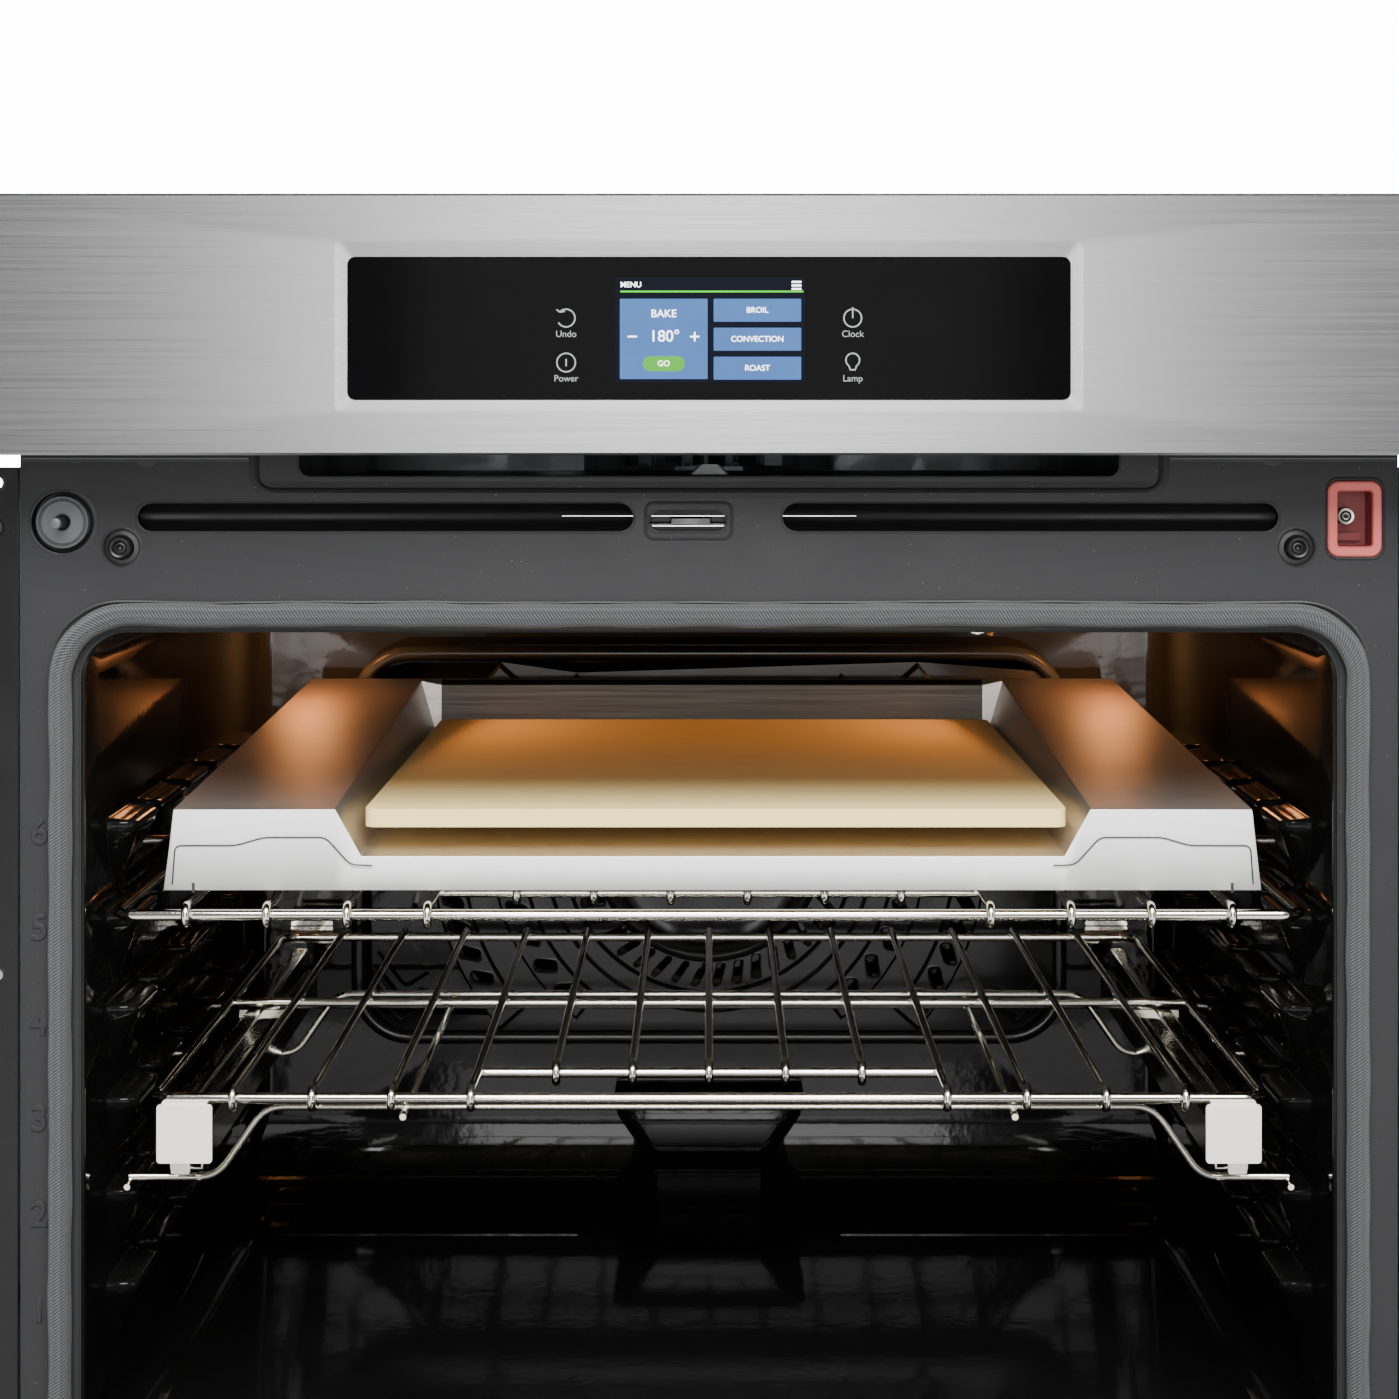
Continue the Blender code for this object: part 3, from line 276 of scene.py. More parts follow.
def lit(name, colour, strength, grain=0.12):
    """A lit area of the screen or an icon, with the slight unevenness of a backlight."""
    s = Surface(name, tuple(c * 0.2 for c in colour), 0.35)
    s.shader.inputs["Emission Strength"].default_value = strength
    s.shader.inputs["Specular IOR Level"].default_value = 0.05
    mix = s.add("ShaderNodeMix", data_type="RGBA")
    mix.inputs["A"].default_value = (*colour, 1.0)
    mix.inputs["B"].default_value = (*(c * 0.8 for c in colour), 1.0)
    s.link(s.span(s.noise(40.0), 0.4, 0.7, 0.0, grain * 5), mix.inputs["Factor"])
    s.link(mix.outputs["Result"], s.shader.inputs["Emission Color"])
    return s.material


def heater_sheath():
    s = Surface("heater sheath", (0.10, 0.095, 0.09), 0.5, 1.0)
    s.tint(s.span(s.noise(35.0), 0.4, 0.7, 0.0, 0.7), (0.17, 0.12, 0.09))
    return s.bump(s.noise(400.0), 0.2, 0.0004).material


def mineral_wool():
    s = Surface("mineral wool", (0.62, 0.55, 0.36), 0.95)
    s.tint(s.span(s.noise(60.0, (1, 1, 1), 6.0), 0.4, 0.7, 0.0, 0.8), (0.42, 0.36, 0.22))
    return s.bump(s.noise(160.0, (1, 1, 1), 8.0), 0.9, 0.004).material


STAINLESS = brushed("brushed stainless", (0.27, 0.27, 0.27), 0.30, streak=0.05, shade=0.96, uneven=0.035)
TRAY_STEEL = brushed("tray stainless", (0.78, 0.74, 0.69), 0.42, (2.0, 260, 260), 0.05, 0.93)
# Lit and shaded copies of the tray's steel: the front face is painted lighter as painted light, and the rear
# wall of the sunken middle is painted dark as painted shade and dark reflection.
TRAY_FRONT_LIT = brushed("tray stainless with painted light", (0.97, 0.98, 0.97), 0.50, (2.0, 260, 260), 0.03, 0.98, 0.10)
TRAY_WELL_SHADE = brushed("tray stainless with painted shade", (0.085, 0.078, 0.066), 0.42, (2.0, 260, 260), 0.06, 0.92)
GREY_ENAMEL = enamel("grey porcelain", linear(45, 45, 46), 0.40, 0.75, 0.030, gloss=0.15)
# Dark enamel for the air duct, also used as painted shade in the frame's groove, gaps, latch hole and air
# slots.
SHADE_AND_DARK_ENAMEL = enamel("dark inner enamel and painted shade", (0.009, 0.009, 0.009), 0.35, 0.0, 0.02, gloss=0.20)
DARK_STEEL = plated("dark hook steel", (0.045, 0.045, 0.045), 0.30)
TRIM_ENAMEL = enamel("black trim enamel", (0.006, 0.006, 0.006), 0.32, 0.3, 0.03, gloss=0.3)
BLACK_ENAMEL = enamel("black porcelain", (0.0040, 0.0042, 0.0040), 0.07, 0.15, 0.07, gloss=0.24)
COVER_ENAMEL = enamel("fan cover enamel", (0.0080, 0.0086, 0.0080), 0.20, 0.15, 0.05, gloss=0.4)
CHROME_WIRE = plated("plated wire", (0.86, 0.81, 0.71), 0.08)
SLIDE_STEEL = plated("slide steel", (0.62, 0.59, 0.52), 0.12)
CAP_STEEL = brushed("slide cap", (0.99, 0.97, 0.88), 0.48, (60, 60, 2), 0.03, 0.97, 0.15)
NICKEL = plated("nickel hardware", (0.70, 0.69, 0.66), 0.20)
ZINC = zinc_sheet()
BRAID = woven_braid()
STONE = fired_stone()
RUBBER = moulded("bumper rubber", linear(24, 24, 25), 0.50)
BLACK_RUBBER = moulded("black bumper rubber", (0.0035, 0.0035, 0.0035), 0.40)
RED_SILICONE = moulded("red silicone", linear(190, 88, 82), 0.45)
# A darker copy of the red silicone: painted shade deep in the probe socket's recess.
RED_SHADED = moulded("red silicone with painted shade", linear(122, 46, 46), 0.55)
GREY_PLASTIC = moulded("switch plastic", linear(80, 81, 82), 0.42)
CONTROL_GLASS = control_pane()
DOOR_GLASS = clear_pane("dark door glass", (0.010, 0.011, 0.012), 0.90)
INNER_GLASS = clear_pane("inner door glass", (0.05, 0.055, 0.055), 0.35)
LAMP_GLASS = lit("glowing lamp glass", (1.0, 0.47, 0.17), 7.0)
HEATER = heater_sheath()
WOOL = mineral_wool()
BOARD = moulded("circuit board", (0.02, 0.13, 0.06), 0.45)
SCREEN_BACK = lit("screen background", (0.0016, 0.0045, 0.0150), 0.6)
SCREEN_TILE = lit("screen tile", (0.085, 0.21, 0.54), 1.0)
SCREEN_WHITE = lit("screen white", (0.95, 0.97, 1.0), 4.5)
SCREEN_GREEN = lit("screen green", (0.13, 0.62, 0.06), 0.85)
SCREEN_RULE = lit("screen rule", (0.06, 0.80, 0.03), 1.6)
KEY_PRINT = lit("key print", linear(205, 207, 208), 0.75)
# Dark seam colour, also used as painted shade: in gaps, in the jack's hole, in a slit and in the shadow line
# round the gasket.
SEAM_AND_SHADE = moulded("dark seam and painted shade", (0.02, 0.02, 0.02), 0.6)
FRIT = moulded("black glass border", (0.008, 0.008, 0.009), 0.12)


# ---------------------------------------------------------------- mesh building
def rounded(u0, u1, v0, v1, radius, steps=6):
    """A rounded rectangle's outline, anticlockwise from its lower right corner."""
    points = []
    for u, v, start in ((u1, v0, -90), (u1, v1, 0), (u0, v1, 90), (u0, v0, 180)):
        cu = u - math.copysign(radius, u - (u0 + u1) / 2)
        cv = v - math.copysign(radius, v - (v0 + v1) / 2)
        for i in range(steps + 1):
            a = math.radians(start + 90 * i / steps)
            points.append((cu + radius * math.cos(a), cv + radius * math.sin(a)))
    return points


def circle(u, v, radius, sides=32):
    turn = 2 * math.pi / sides
    return [(u + radius * math.cos(i * turn), v + radius * math.sin(i * turn)) for i in range(sides)]


def slot_outline(u, v, angle, length, width, steps=5):
    """A slot with round ends, turned by angle."""
    along, across = Vector((math.cos(angle), math.sin(angle))), Vector((-math.sin(angle), math.cos(angle)))
    centre, half, r = Vector((u, v)), (length - width) / 2, width / 2
    points = []
    for end, start in ((1, -90), (-1, 90)):
        for i in range(steps + 1):
            a = math.radians(start + 180 * i / steps)
            points.append(tuple(centre + along * (end * half + r * math.cos(a)) + across * r * math.sin(a)))
    return points


TO_WORLD = {
    "Y": lambda u, v, w: Vector((u, w, v)),
    "X": lambda u, v, w: Vector((w, u, v)),
    "Z": lambda u, v, w: Vector((u, v, w)),
}


class Shape:
    """One piece's mesh, put together from several bodies in the row frame."""

    def __init__(self, axis="Y"):
        self.bm = bmesh.new()
        self.uv = self.bm.loops.layers.uv.new("UVMap")
        self.to_world = TO_WORLD[axis]

    def ring(self, outline, w):
        return [self.bm.verts.new(self.to_world(u, v, w)) for u, v in outline]

    def fill(self, *rings):
        """Fills the flat face between an outer ring of vertices and its holes."""
        edges = []
        for ring in rings:
            for a, b in zip(ring, ring[1:] + ring[:1]):
                edges.append(self.bm.edges.get((a, b)) or self.bm.edges.new((a, b)))
        bmesh.ops.triangle_fill(self.bm, use_beauty=True, edges=edges, normal=self.to_world(0, 0, 1))
        return self

    def loft(self, rings, close=False):
        """Quads between rings that have as many vertices as each other."""
        for first, second in zip(rings, rings[1:]):
            for k in range(len(first)):
                n = (k + 1) % len(first)
                self.bm.faces.new((first[k], first[n], second[n], second[k]))
        if close:
            self.fill(rings[0]).fill(rings[-1])
        return self

    def plate(self, outline, near, far, holes=(), axis=None):
        """A flat plate with holes, its rims standing between two planes."""
        before = self.to_world
        self.to_world = TO_WORLD[axis] if axis else before
        loops = [(self.ring(o, near), self.ring(o, far)) for o in (outline, *holes)]
        self.fill(*(pair[0] for pair in loops)).fill(*(pair[1] for pair in loops))
        for pair in loops:
            self.loft(pair)
        self.to_world = before
        return self

    def block(self, x, y, z):
        """A box from three (low, high) pairs."""
        return self.plate([(x[0], y[0]), (x[1], y[0]), (x[1], y[1]), (x[0], y[1])], *z, axis="Z")

    def tube(self, points, radius, sides=12, closed=False, squash=None, caps=True):
        """A round bar along points, or an oval one whose half depth along Y is squash."""
        points = [Vector(p) for p in points]
        count, rings, side, run = len(points), [], None, 0.0
        for i, point in enumerate(points):
            before = points[i - 1] if i or closed else point
            after = points[(i + 1) % count] if i + 1 < count or closed else point
            a, b = (point - before).normalized(), (after - point).normalized()
            tangent = (a + b).normalized()
            if side is None:
                side = Vector((0, 1, 0)) if abs(tangent.y) < 0.9 else Vector((0, 0, 1))
            side = (side - tangent * side.dot(tangent)).normalized()
            other = tangent.cross(side)
            local = radius(i / (count - 1)) if callable(radius) else radius
            ring = []
            for k in range(sides):
                angle = 2 * math.pi * k / sides
                offset = (side * math.cos(angle) + other * math.sin(angle)) * local
                if squash:
                    offset.y *= squash / local
                ring.append(self.bm.verts.new(point + offset))
            run += (point - before).length if i else 0.0
            rings.append((ring, run))
        girth = 2 * math.pi * (radius(0.5) if callable(radius) else radius) / sides
        pairs = list(zip(rings, rings[1:]))
        if closed:
            step = (points[0] - points[-1]).length
            pairs.append((rings[-1], (rings[0][0], run + step)))
        for (first, u0), (second, u1) in pairs:
            for k in range(sides):
                n = (k + 1) % sides
                face = self.bm.faces.new((first[k], first[n], second[n], second[k]))
                corners = ((u0, k), (u0, k + 1), (u1, k + 1), (u1, k))
                for loop, (u, v) in zip(face.loops, corners):
                    loop[self.uv].uv = (u, v * girth)
        if not closed and caps:
            self.bm.faces.new(rings[0][0])
            self.bm.faces.new(rings[-1][0])
        return self

    def turned(self, profile, centre, axis="Y", sides=40):
        """A solid or shell of revolution from (radius, distance along the axis) pairs."""
        turn = {"Y": Matrix.Rotation(math.radians(-90), 4, "X"),
                "X": Matrix.Rotation(math.radians(90), 4, "Y")}
        matrix = Matrix.Translation(centre) @ turn.get(axis, Matrix.Identity(4))
        rings = []
        for radius, along in profile:
            around = circle(0, 0, radius, sides) if radius else [(0, 0)]
            rings.append([self.bm.verts.new(matrix @ Vector((u, v, along))) for u, v in around])
        for first, second in zip(rings, rings[1:]):
            for k in range(sides):
                n = k + 1
                corners = [first[k % len(first)], first[n % len(first)]]
                corners += [second[n % len(second)], second[k % len(second)]]
                unique = list(dict.fromkeys(corners))
                if len(unique) > 2:
                    self.bm.faces.new(unique)
        return self

    def field(self, us, vs, height):
        """A sheet over a grid: height(u, v) along the shape's axis."""
        grid = [[self.bm.verts.new(self.to_world(u, v, height(u, v))) for u in us] for v in vs]
        for low_row, high_row in zip(grid, grid[1:]):
            for i in range(len(us) - 1):
                self.bm.faces.new((low_row[i], low_row[i + 1], high_row[i + 1], high_row[i]))
        return self

    def piece(self, name, material, body, stands_for=(), bevel=None, angle=40, turn=None):
        """Makes the object, which rides on a body and may stand for CAD nodes."""
        if turn:
            self.bm.transform(turn)
        bmesh.ops.recalc_face_normals(self.bm, faces=self.bm.faces)
        mesh = bpy.data.meshes.new(name)
        self.bm.to_mesh(mesh)
        self.bm.free()
        mesh.materials.append(material)
        obj = bpy.data.objects.new(name, mesh)
        bpy.context.scene.collection.objects.link(obj)
        if bevel:
            edge = obj.modifiers.new("Edge", "BEVEL")
            edge.width, edge.segments, edge.limit_method = bevel, 3, "ANGLE"
            edge.angle_limit = math.radians(angle)
        mesh.shade_smooth()
        mesh.set_sharp_from_angle(angle=math.radians(angle))
        if stands_for:
            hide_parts(*stands_for)
        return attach(obj, body)


def steps(start, end, count):
    return [start + (end - start) * i / count for i in range(count + 1)]


def smooth_step(edge0, edge1, value):
    t = min(1.0, max(0.0, (value - edge0) / (edge1 - edge0)))
    return t * t * (3 - 2 * t)


def bend_path(points, radius, count=8):
    """The open path through points, with each corner turned in a smooth curve."""
    points = [Vector(p) for p in points]
    path = [points[0]]
    for before, corner, after in zip(points, points[1:], points[2:]):
        a, b = (before - corner), (after - corner)
        reach = min(radius, a.length * 0.49, b.length * 0.49)
        start, end = corner + a.normalized() * reach, corner + b.normalized() * reach
        for i in range(count + 1):
            t = i / count
            path.append(start * (1 - t) ** 2 + corner * 2 * t * (1 - t) + end * t**2)
    path.append(points[-1])
    return path


def screw(shape, x, z, d, radius=0.0042, facing=-1):
    """A pan-head screw on a plane at depth d; its cross recess is not drawn."""
    y = depth(d)
    dome = [(0, 0.35), (0.30, 0.36), (0.62, 0.30), (0.85, 0.18), (1.0, 0.0), (1.0, -0.15), (0, -0.15)]
    shape.turned([(r * radius, -facing * h * -radius) for r, h in dome], (x, y, z), "Y", 20)


def text(name, words, size, x, z, y, material, body, align="CENTER", weight=0.0):
    """Generic words or figures, as a thin solid that faces the front."""
    curve = bpy.data.curves.new(name, "FONT")
    curve.body, curve.size, curve.align_x, curve.align_y = words, size, align, "CENTER"
    curve.extrude, curve.offset = 0.00004, weight
    curve.materials.append(material)
    obj = bpy.data.objects.new(name, curve)
    obj.location = (x, y, z)
    obj.rotation_euler = (math.radians(90), 0, 0)
    bpy.context.scene.collection.objects.link(obj)
    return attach(obj, body)


# ---------------------------------------------------------------- front frame
def lipped_hole(shape, outline, near, far, lip=0.0010, outward=1.0):
    """The rim of a hole with a small rolled lip that catches the light."""
    centre = Vector((sum(u for u, _ in outline), sum(v for _, v in outline))) / len(outline)
    rings = []
    for grow, w in ((lip + 0.0007, near), (lip, near), (lip * 0.55, near - lip * 0.30), (0.0, near),
                    (0.0, far)):
        ring = []
        for u, v in outline:
            away = Vector((u, v)) - centre
            away.x, away.y = math.copysign(min(abs(away.x), grow),
                                           away.x), math.copysign(min(abs(away.y), grow), away.y)
            ring.append((u + away.x * outward, v + away.y * outward))
        rings.append(shape.ring(ring, w))
    shape.loft(rings)
    return rings[0]


def frame_holes():
    slots = [rounded(x0, x1, 0.5480, 0.5624, 0.0071) for x0, x1 in ((-0.294, -0.039), (0.038, 0.293))]
    latch = rounded(-0.0303, 0.0085, 0.5482, 0.5582, 0.0044)
    exhaust = rounded(-0.211, 0.211, 0.5765, 0.5980, 0.005)
    switch = circle(SWITCH_X, SWITCH_Z, 0.0160, 40)
    bumpers = [circle(x, BUMPER_Z, 0.0091, 32) for x in (-BUMPER_X, BUMPER_X)]
    probe = rounded(0.3180, 0.3466, 0.5345, 0.5742, 0.006)
    hinges = [rounded(x - 0.008, x + 0.008, 0.0105, 0.0425, 0.003) for x in (-0.300, 0.300)]
    return [*slots, latch, exhaust, switch, *bumpers, probe, *hinges]


def build_front_frame():
    """The enamelled frame with a rolled lip at each hole and round the oven's mouth."""
    shape = Shape("Y")
    near, far = FRONT, FRONT + 0.0015
    mouth = rounded(-0.3232, 0.3232, 0.058, 0.496, 0.024, 14)
    edge = rounded(-0.3543, 0.3543, 0.0095, 0.700, 0.003)
    rims = [lipped_hole(shape, outline, near, far) for outline in (*frame_holes(), mouth)]
    outer = shape.ring(edge, near)
    shape.fill(outer, *rims)
    fold = [(u * 1.0008, v) for u, v in edge]
    shape.loft([outer, shape.ring(fold, near + 0.0006), shape.ring(fold, near + 0.0015)])
    shape.piece("front_frame_face", GREY_ENAMEL, "oven", ["front_frame"], angle=50)


def pressed_ridge(name, path, width, height, material=None, closed=False):
    """A low rounded ridge pressed into the frame's face along a path."""
    shape = Shape()
    count = 7
    points = [Vector((x, z)) for x, z in path]
    rows = []
    for i, point in enumerate(points):
        before = points[i - 1] if i or closed else point
        after = points[(i + 1) % len(points)] if i + 1 < len(points) or closed else point
        along = (after - before).normalized()
        across = Vector((-along.y, along.x))
        row = []
        for k in range(count):
            t = k / (count - 1) * 2 - 1
            place = point + across * t * width / 2
            rise = height * (0.5 + 0.5 * math.cos(math.pi * t))
            row.append(shape.bm.verts.new((place.x, FRONT - 0.00005 - rise, place.y)))
        rows.append(row)
    if closed:
        rows.append(rows[0])
    for first, second in zip(rows, rows[1:]):
        for k in range(count - 1):
            shape.bm.faces.new((first[k], first[k + 1], second[k + 1], second[k]))
    shape.piece(name, material or GREY_ENAMEL, "oven")


def build_frame_pressings():
    """The ridges around the exhaust, the latch and the probe socket, and the level numbers."""
    groove = bend_path([(-0.2325, 0, 0.5880), (-0.2325, 0, 0.5692), (0.2325, 0, 0.5692), (0.2325, 0, 0.5880)],
                       0.015)
    groove = [(p.x, p.z) for p in groove]
    pressed_ridge("exhaust_ridge", groove, 0.0092, 0.0010)
    # The narrow dark strip along the ridge is painted shade in the pressed groove.
    pressed_ridge("exhaust_groove_shade", groove, 0.0052, 0.0016, SHADE_AND_DARK_ENAMEL)
    pressed_ridge("latch_ridge", rounded(-0.0326, 0.0117, 0.5442, 0.5627, 0.0042), 0.0018, 0.0006,
                  closed=True)
    pressed_ridge("probe_ridge", rounded(0.3174, 0.3474, 0.5337, 0.5754, 0.0064), 0.0012, 0.0006, closed=True)
    for side in (-1, 1):
        bumper = [(side * BUMPER_X + u, BUMPER_Z + v) for u, v in circle(0, 0, 0.0096, 40)]
        pressed_ridge(f"bumper_ridge_{'right' if side > 0 else 'left'}", bumper, 0.0010, 0.0005, closed=True)
    shape = Shape("Y")
    rings = [shape.ring([(-0.0100 + t, 0.5772), (0.0105 - t, 0.5772), (0.0052 - t, 0.5824),
                         (-0.0047 + t, 0.5824)],
                        FRONT + 0.0060 - 0.0012 * t / 0.0012) for t in (0.0, 0.0006, 0.0012)]
    shape.loft(rings).fill(rings[-1])
    shape.piece("exhaust_tab", GREY_PLASTIC, "oven")
    shape = Shape()
    shape.block((-0.0760, 0.0760), (FRONT + 0.0060, FRONT + 0.0075), (0.5555, 0.5558))
    shape.block((-0.0292, 0.0075), (FRONT + 0.0040, FRONT + 0.0056), (0.5504, 0.5508))
    shape.piece("latch_bracket_edges", NICKEL, "oven")
    # Dark plates inside the latch hole: painted shade in the latch's recess.
    shape = Shape("Y")
    for x0, x1, z0, z1, near in ((-0.0320, 0.0105, 0.5470, 0.5503, 0.0085),
                                 (-0.0320, -0.0202, 0.5525, 0.5552, 0.0095),
                                 (0.0012, 0.0105, 0.5525, 0.5552, 0.0095),
                                 (-0.0320, 0.0105, 0.5561, 0.5600, 0.0100)):
        shape.plate([(x0, z0), (x1, z0), (x1, z1), (x0, z1)], FRONT + near, FRONT + near + 0.0005)
    shape.piece("latch_recess_shade", SHADE_AND_DARK_ENAMEL, "oven")
    # The dark strips and half discs in the gap under the control panel are painted shade.
    edges, gaps = Shape(), Shape()
    for side in (-1, 1):
        span = sorted((side * 0.2370, side * 0.3535))
        edges.block(span, (FRONT - 0.0008, FRONT - 0.0001), (0.5851, 0.5858))
        gaps.block(span, (FRONT - 0.0004, FRONT - 0.0001), (0.5838, 0.5850))
    for x, half, drop in ((-0.3255, 0.0035, 0.0012), (-0.2895, 0.0050, 0.0027), (0.2900, 0.0050, 0.0027)):
        bump = [(x + half * math.cos(a), 0.5842 + drop * math.sin(a)) for a in steps(math.pi, 2 * math.pi,
                                                                                     12)]
        gaps.plate(bump, FRONT - 0.0005, FRONT - 0.0001, axis="Y")
    edges.piece("panel_edges", GREY_PLASTIC, "oven")
    gaps.piece("panel_gap_shade", SEAM_AND_SHADE, "oven")
    for level, top in enumerate(LEVEL_TOPS, 1):
        obj = text(f"level_{level}", str(level), 0.0185, -0.3447, top + 0.0006, FRONT + 0.0001, GREY_ENAMEL,
                   "oven")
        obj.data.extrude = 0.0004
        obj.data.bevel_depth = 0.0005
        obj.data.bevel_resolution = 2


def build_front_fittings():
    """Door switch, bumpers and the red probe socket, as they look through the frame's holes."""
    x, z = SWITCH_X, SWITCH_Z
    shape = Shape()
    shape.turned([(PIN_HOLE, 0.010), (0.0134, 0.010), (0.0136, 0.0004), (0.0132, -0.0004), (0.0126, -0.0004),
                  (0.0122, 0.0006), (0.0119, 0.0009), (0.0112, 0.0004), (0.0108, -0.0002), (0.0045, -0.0004),
                  (0.0040, 0.0004), (PIN_HOLE, 0.0010), (PIN_HOLE, 0.010)], (x, FRONT, z), "Y", 48)
    shape.piece("switch_bezel", GREY_PLASTIC, "oven", ["switch_body"])
    # A dark ring lining the gap round the switch's bezel: painted shade in the gap.
    shape = Shape()
    shape.turned([(0.0132, 0.0082), (0.0160, 0.0080), (0.0160, 0.0018)], (x, FRONT, z), "Y", 48)
    shape.piece("switch_gap_shade", SHADE_AND_DARK_ENAMEL, "oven")
    shape = Shape()
    tip = low("switch_plunger").y
    shape.turned([(0, tip), (0.0018, tip + 0.0001), (0.0027, tip + 0.0006), (0.0030, tip + 0.0014)],
                 (x, 0, z), "Y", 24)
    shape.piece("switch_pin_tip", GREY_PLASTIC, "switch_plunger")
    shape = Shape()
    shape.turned([(0.0030, tip + 0.0014), (0.0029, tip + 0.0020), (0.0029, high("switch_plunger").y)],
                 (x, 0, z), "Y", 24)
    shape.piece("switch_pin", RUBBER, "switch_plunger", ["switch_plunger"])
    for side, name in ((-1, "left"), (1, "right")):
        shape = Shape()
        shape.turned([(0, 0.003), (0.0090, 0.003), (0.0090, 0.0012), (0.0066, 0.0008), (0.0063, -0.0026),
                      (0.0057, -0.0044), (0.0048, -0.0050), (0.0039, -0.0046), (0.0033, -0.0032),
                      (0.0026, -0.0026),
                      (0.0018, -0.0028), (0.0014, -0.0020), (0, -0.0010)], (side * BUMPER_X, FRONT, BUMPER_Z),
                      "Y", 36)
        shape.piece(f"{name}_bumper_moulding", BLACK_RUBBER, "oven", [f"{name}_bumper"])
    shape = Shape("Y")
    outer, middle = rounded(0.3184, 0.3462, 0.5349, 0.5738, 0.0058, 8), rounded(0.3192, 0.3454, 0.5357,
                                                                                0.5730, 0.0052, 8)
    inner, deep = rounded(0.3230, 0.3420, 0.5394, 0.5694, 0.0018, 8), rounded(0.3236, 0.3414, 0.5402, 0.5686,
                                                                              0.0016, 8)
    rings = [shape.ring(o, FRONT + w) for o, w in
             ((outer, 0.0060), (outer, -0.0002), (middle, -0.0010), (inner, -0.0008), (deep, 0.0004))]
    shape.loft(rings)
    shape.piece("probe_surround", RED_SILICONE, "oven", ["probe_jack_housing"])
    # The recess walls and floor take the darker red: painted shade inside the socket.
    shape = Shape("Y")
    recess = [shape.ring(deep, FRONT + w) for w in (0.0004, 0.0150)]
    shape.loft(recess).fill(recess[-1])
    shape.plate(rounded(0.3262, 0.3384, 0.5428, 0.5468, 0.0012), FRONT + 0.0120, FRONT + 0.0149)
    shape.piece("probe_recess", RED_SHADED, "oven")
    shape = Shape()
    at = FRONT + 0.0030
    hole = (0.3286, at, 0.5556)
    shape.turned([(0.0029, 0.013), (0.0046, 0.013), (0.0046, 0.0006), (0.0041, 0.0), (0.0030, 0.0001),
                  (0.0029, 0.0060)],
                 hole, "Y", 32)
    shape.turned([(0.0012, 0.0100), (0.0012, 0.0005), (0.0015, 0.0002), (0.0019, 0.0002), (0.0021, 0.0006),
                  (0.0021, 0.0100)], hole, "Y", 24)
    # A dark disc inside the jack's hole: painted shade where the plated hole would look bright.
    dark = Shape()
    dark.turned([(0.0030, 0.0040), (0, 0.0040)], hole, "Y", 24)
    dark.piece("probe_jack_hole_shade", SEAM_AND_SHADE, "oven")
    shape.piece("probe_jack_body", NICKEL, "oven", ["probe_jack"])


def build_slot_channels():
    """Dark curved channels behind the air slots: painted shade for the dark inside of the slots, which also
    hides the casing from the front.
    """
    for name, x0, x1 in (("left", -0.300, -0.034), ("right", 0.033, 0.299)):
        shape = Shape("X")
        rings = []
        for x, scale in ((x0, 0.2), (x0 + 0.004, 0.8), (x0 + 0.014, 1.0), (x1 - 0.014, 1.0),
                         (x1 - 0.004, 0.8), (x1, 0.2)):
            arc = [(depth(0.0018 + 0.0170 * scale * math.sin(a)),
                    0.5552 - 0.0098 * (0.6 + 0.4 * scale) * math.cos(a))
                   for a in steps(0, math.pi, 14)]
            rings.append(shape.ring(arc, x))
        for first, second in zip(rings, rings[1:]):
            for k in range(len(first) - 1):
                shape.bm.faces.new((first[k], first[k + 1], second[k + 1], second[k]))
        shape.piece(f"{name}_slot_shade_channel", SHADE_AND_DARK_ENAMEL, "oven")


# ---------------------------------------------------------------- gasket
def build_gasket():
    """The braided gasket: an uneven oval tube that lies loosely around the mouth."""
    path = []
    corner = 0.034
    outline = rounded(-0.3328, 0.3328, 0.0515, 0.5052, corner, 16)
    dense = []
    for (u0, v0), (u1, v1) in zip(outline, outline[1:] + outline[:1]):
        pieces = max(1, round(math.hypot(u1 - u0, v1 - v0) / 0.008))
        dense += [(u0 + (u1 - u0) * i / pieces, v0 + (v1 - v0) * i / pieces) for i in range(pieces)]
    for u, v in dense:
        wobble = noise.noise(Vector((u * 22, v * 22, 0.7))) * 0.0007
        ripple = noise.noise(Vector((u * 90, v * 90, 4.2))) * 0.00025
        sag = 0.0006 * noise.noise(Vector((u * 9, v * 9, 2.0)))
        path.append((u + wobble + ripple, depth(-0.0048) + sag, v + wobble - ripple))
    shape = Shape()
    shape.tube(path, lambda t: 0.0060 + 0.00025 * math.sin(t * 260), 18, True, squash=0.0044)
    obj = shape.piece("gasket_braid", BRAID, "oven", ["oven_gasket"])
    shape = Shape()
    seam = [(u * 1.0187, depth(-0.0008), 0.27835 + (v - 0.27835) * 1.0272) for u, _, v in path]
    shape.tube(seam, 0.0009, 6, True)
    shape.piece("gasket_shadow_seam", SEAM_AND_SHADE, "oven")
    return obj


# ---------------------------------------------------------------- cavity
# Each pressed rack ledge: start and end depth, and how far it tapers down below its top.
LEDGES = ((0.045, 0.108, 0.040, 0.016), (0.118, 0.190, 0.014, 0.013), (0.200, 0.270, 0.014, 0.013),
          (0.282, 0.352, 0.014, 0.013), (0.362, 0.434, 0.014, 0.013))


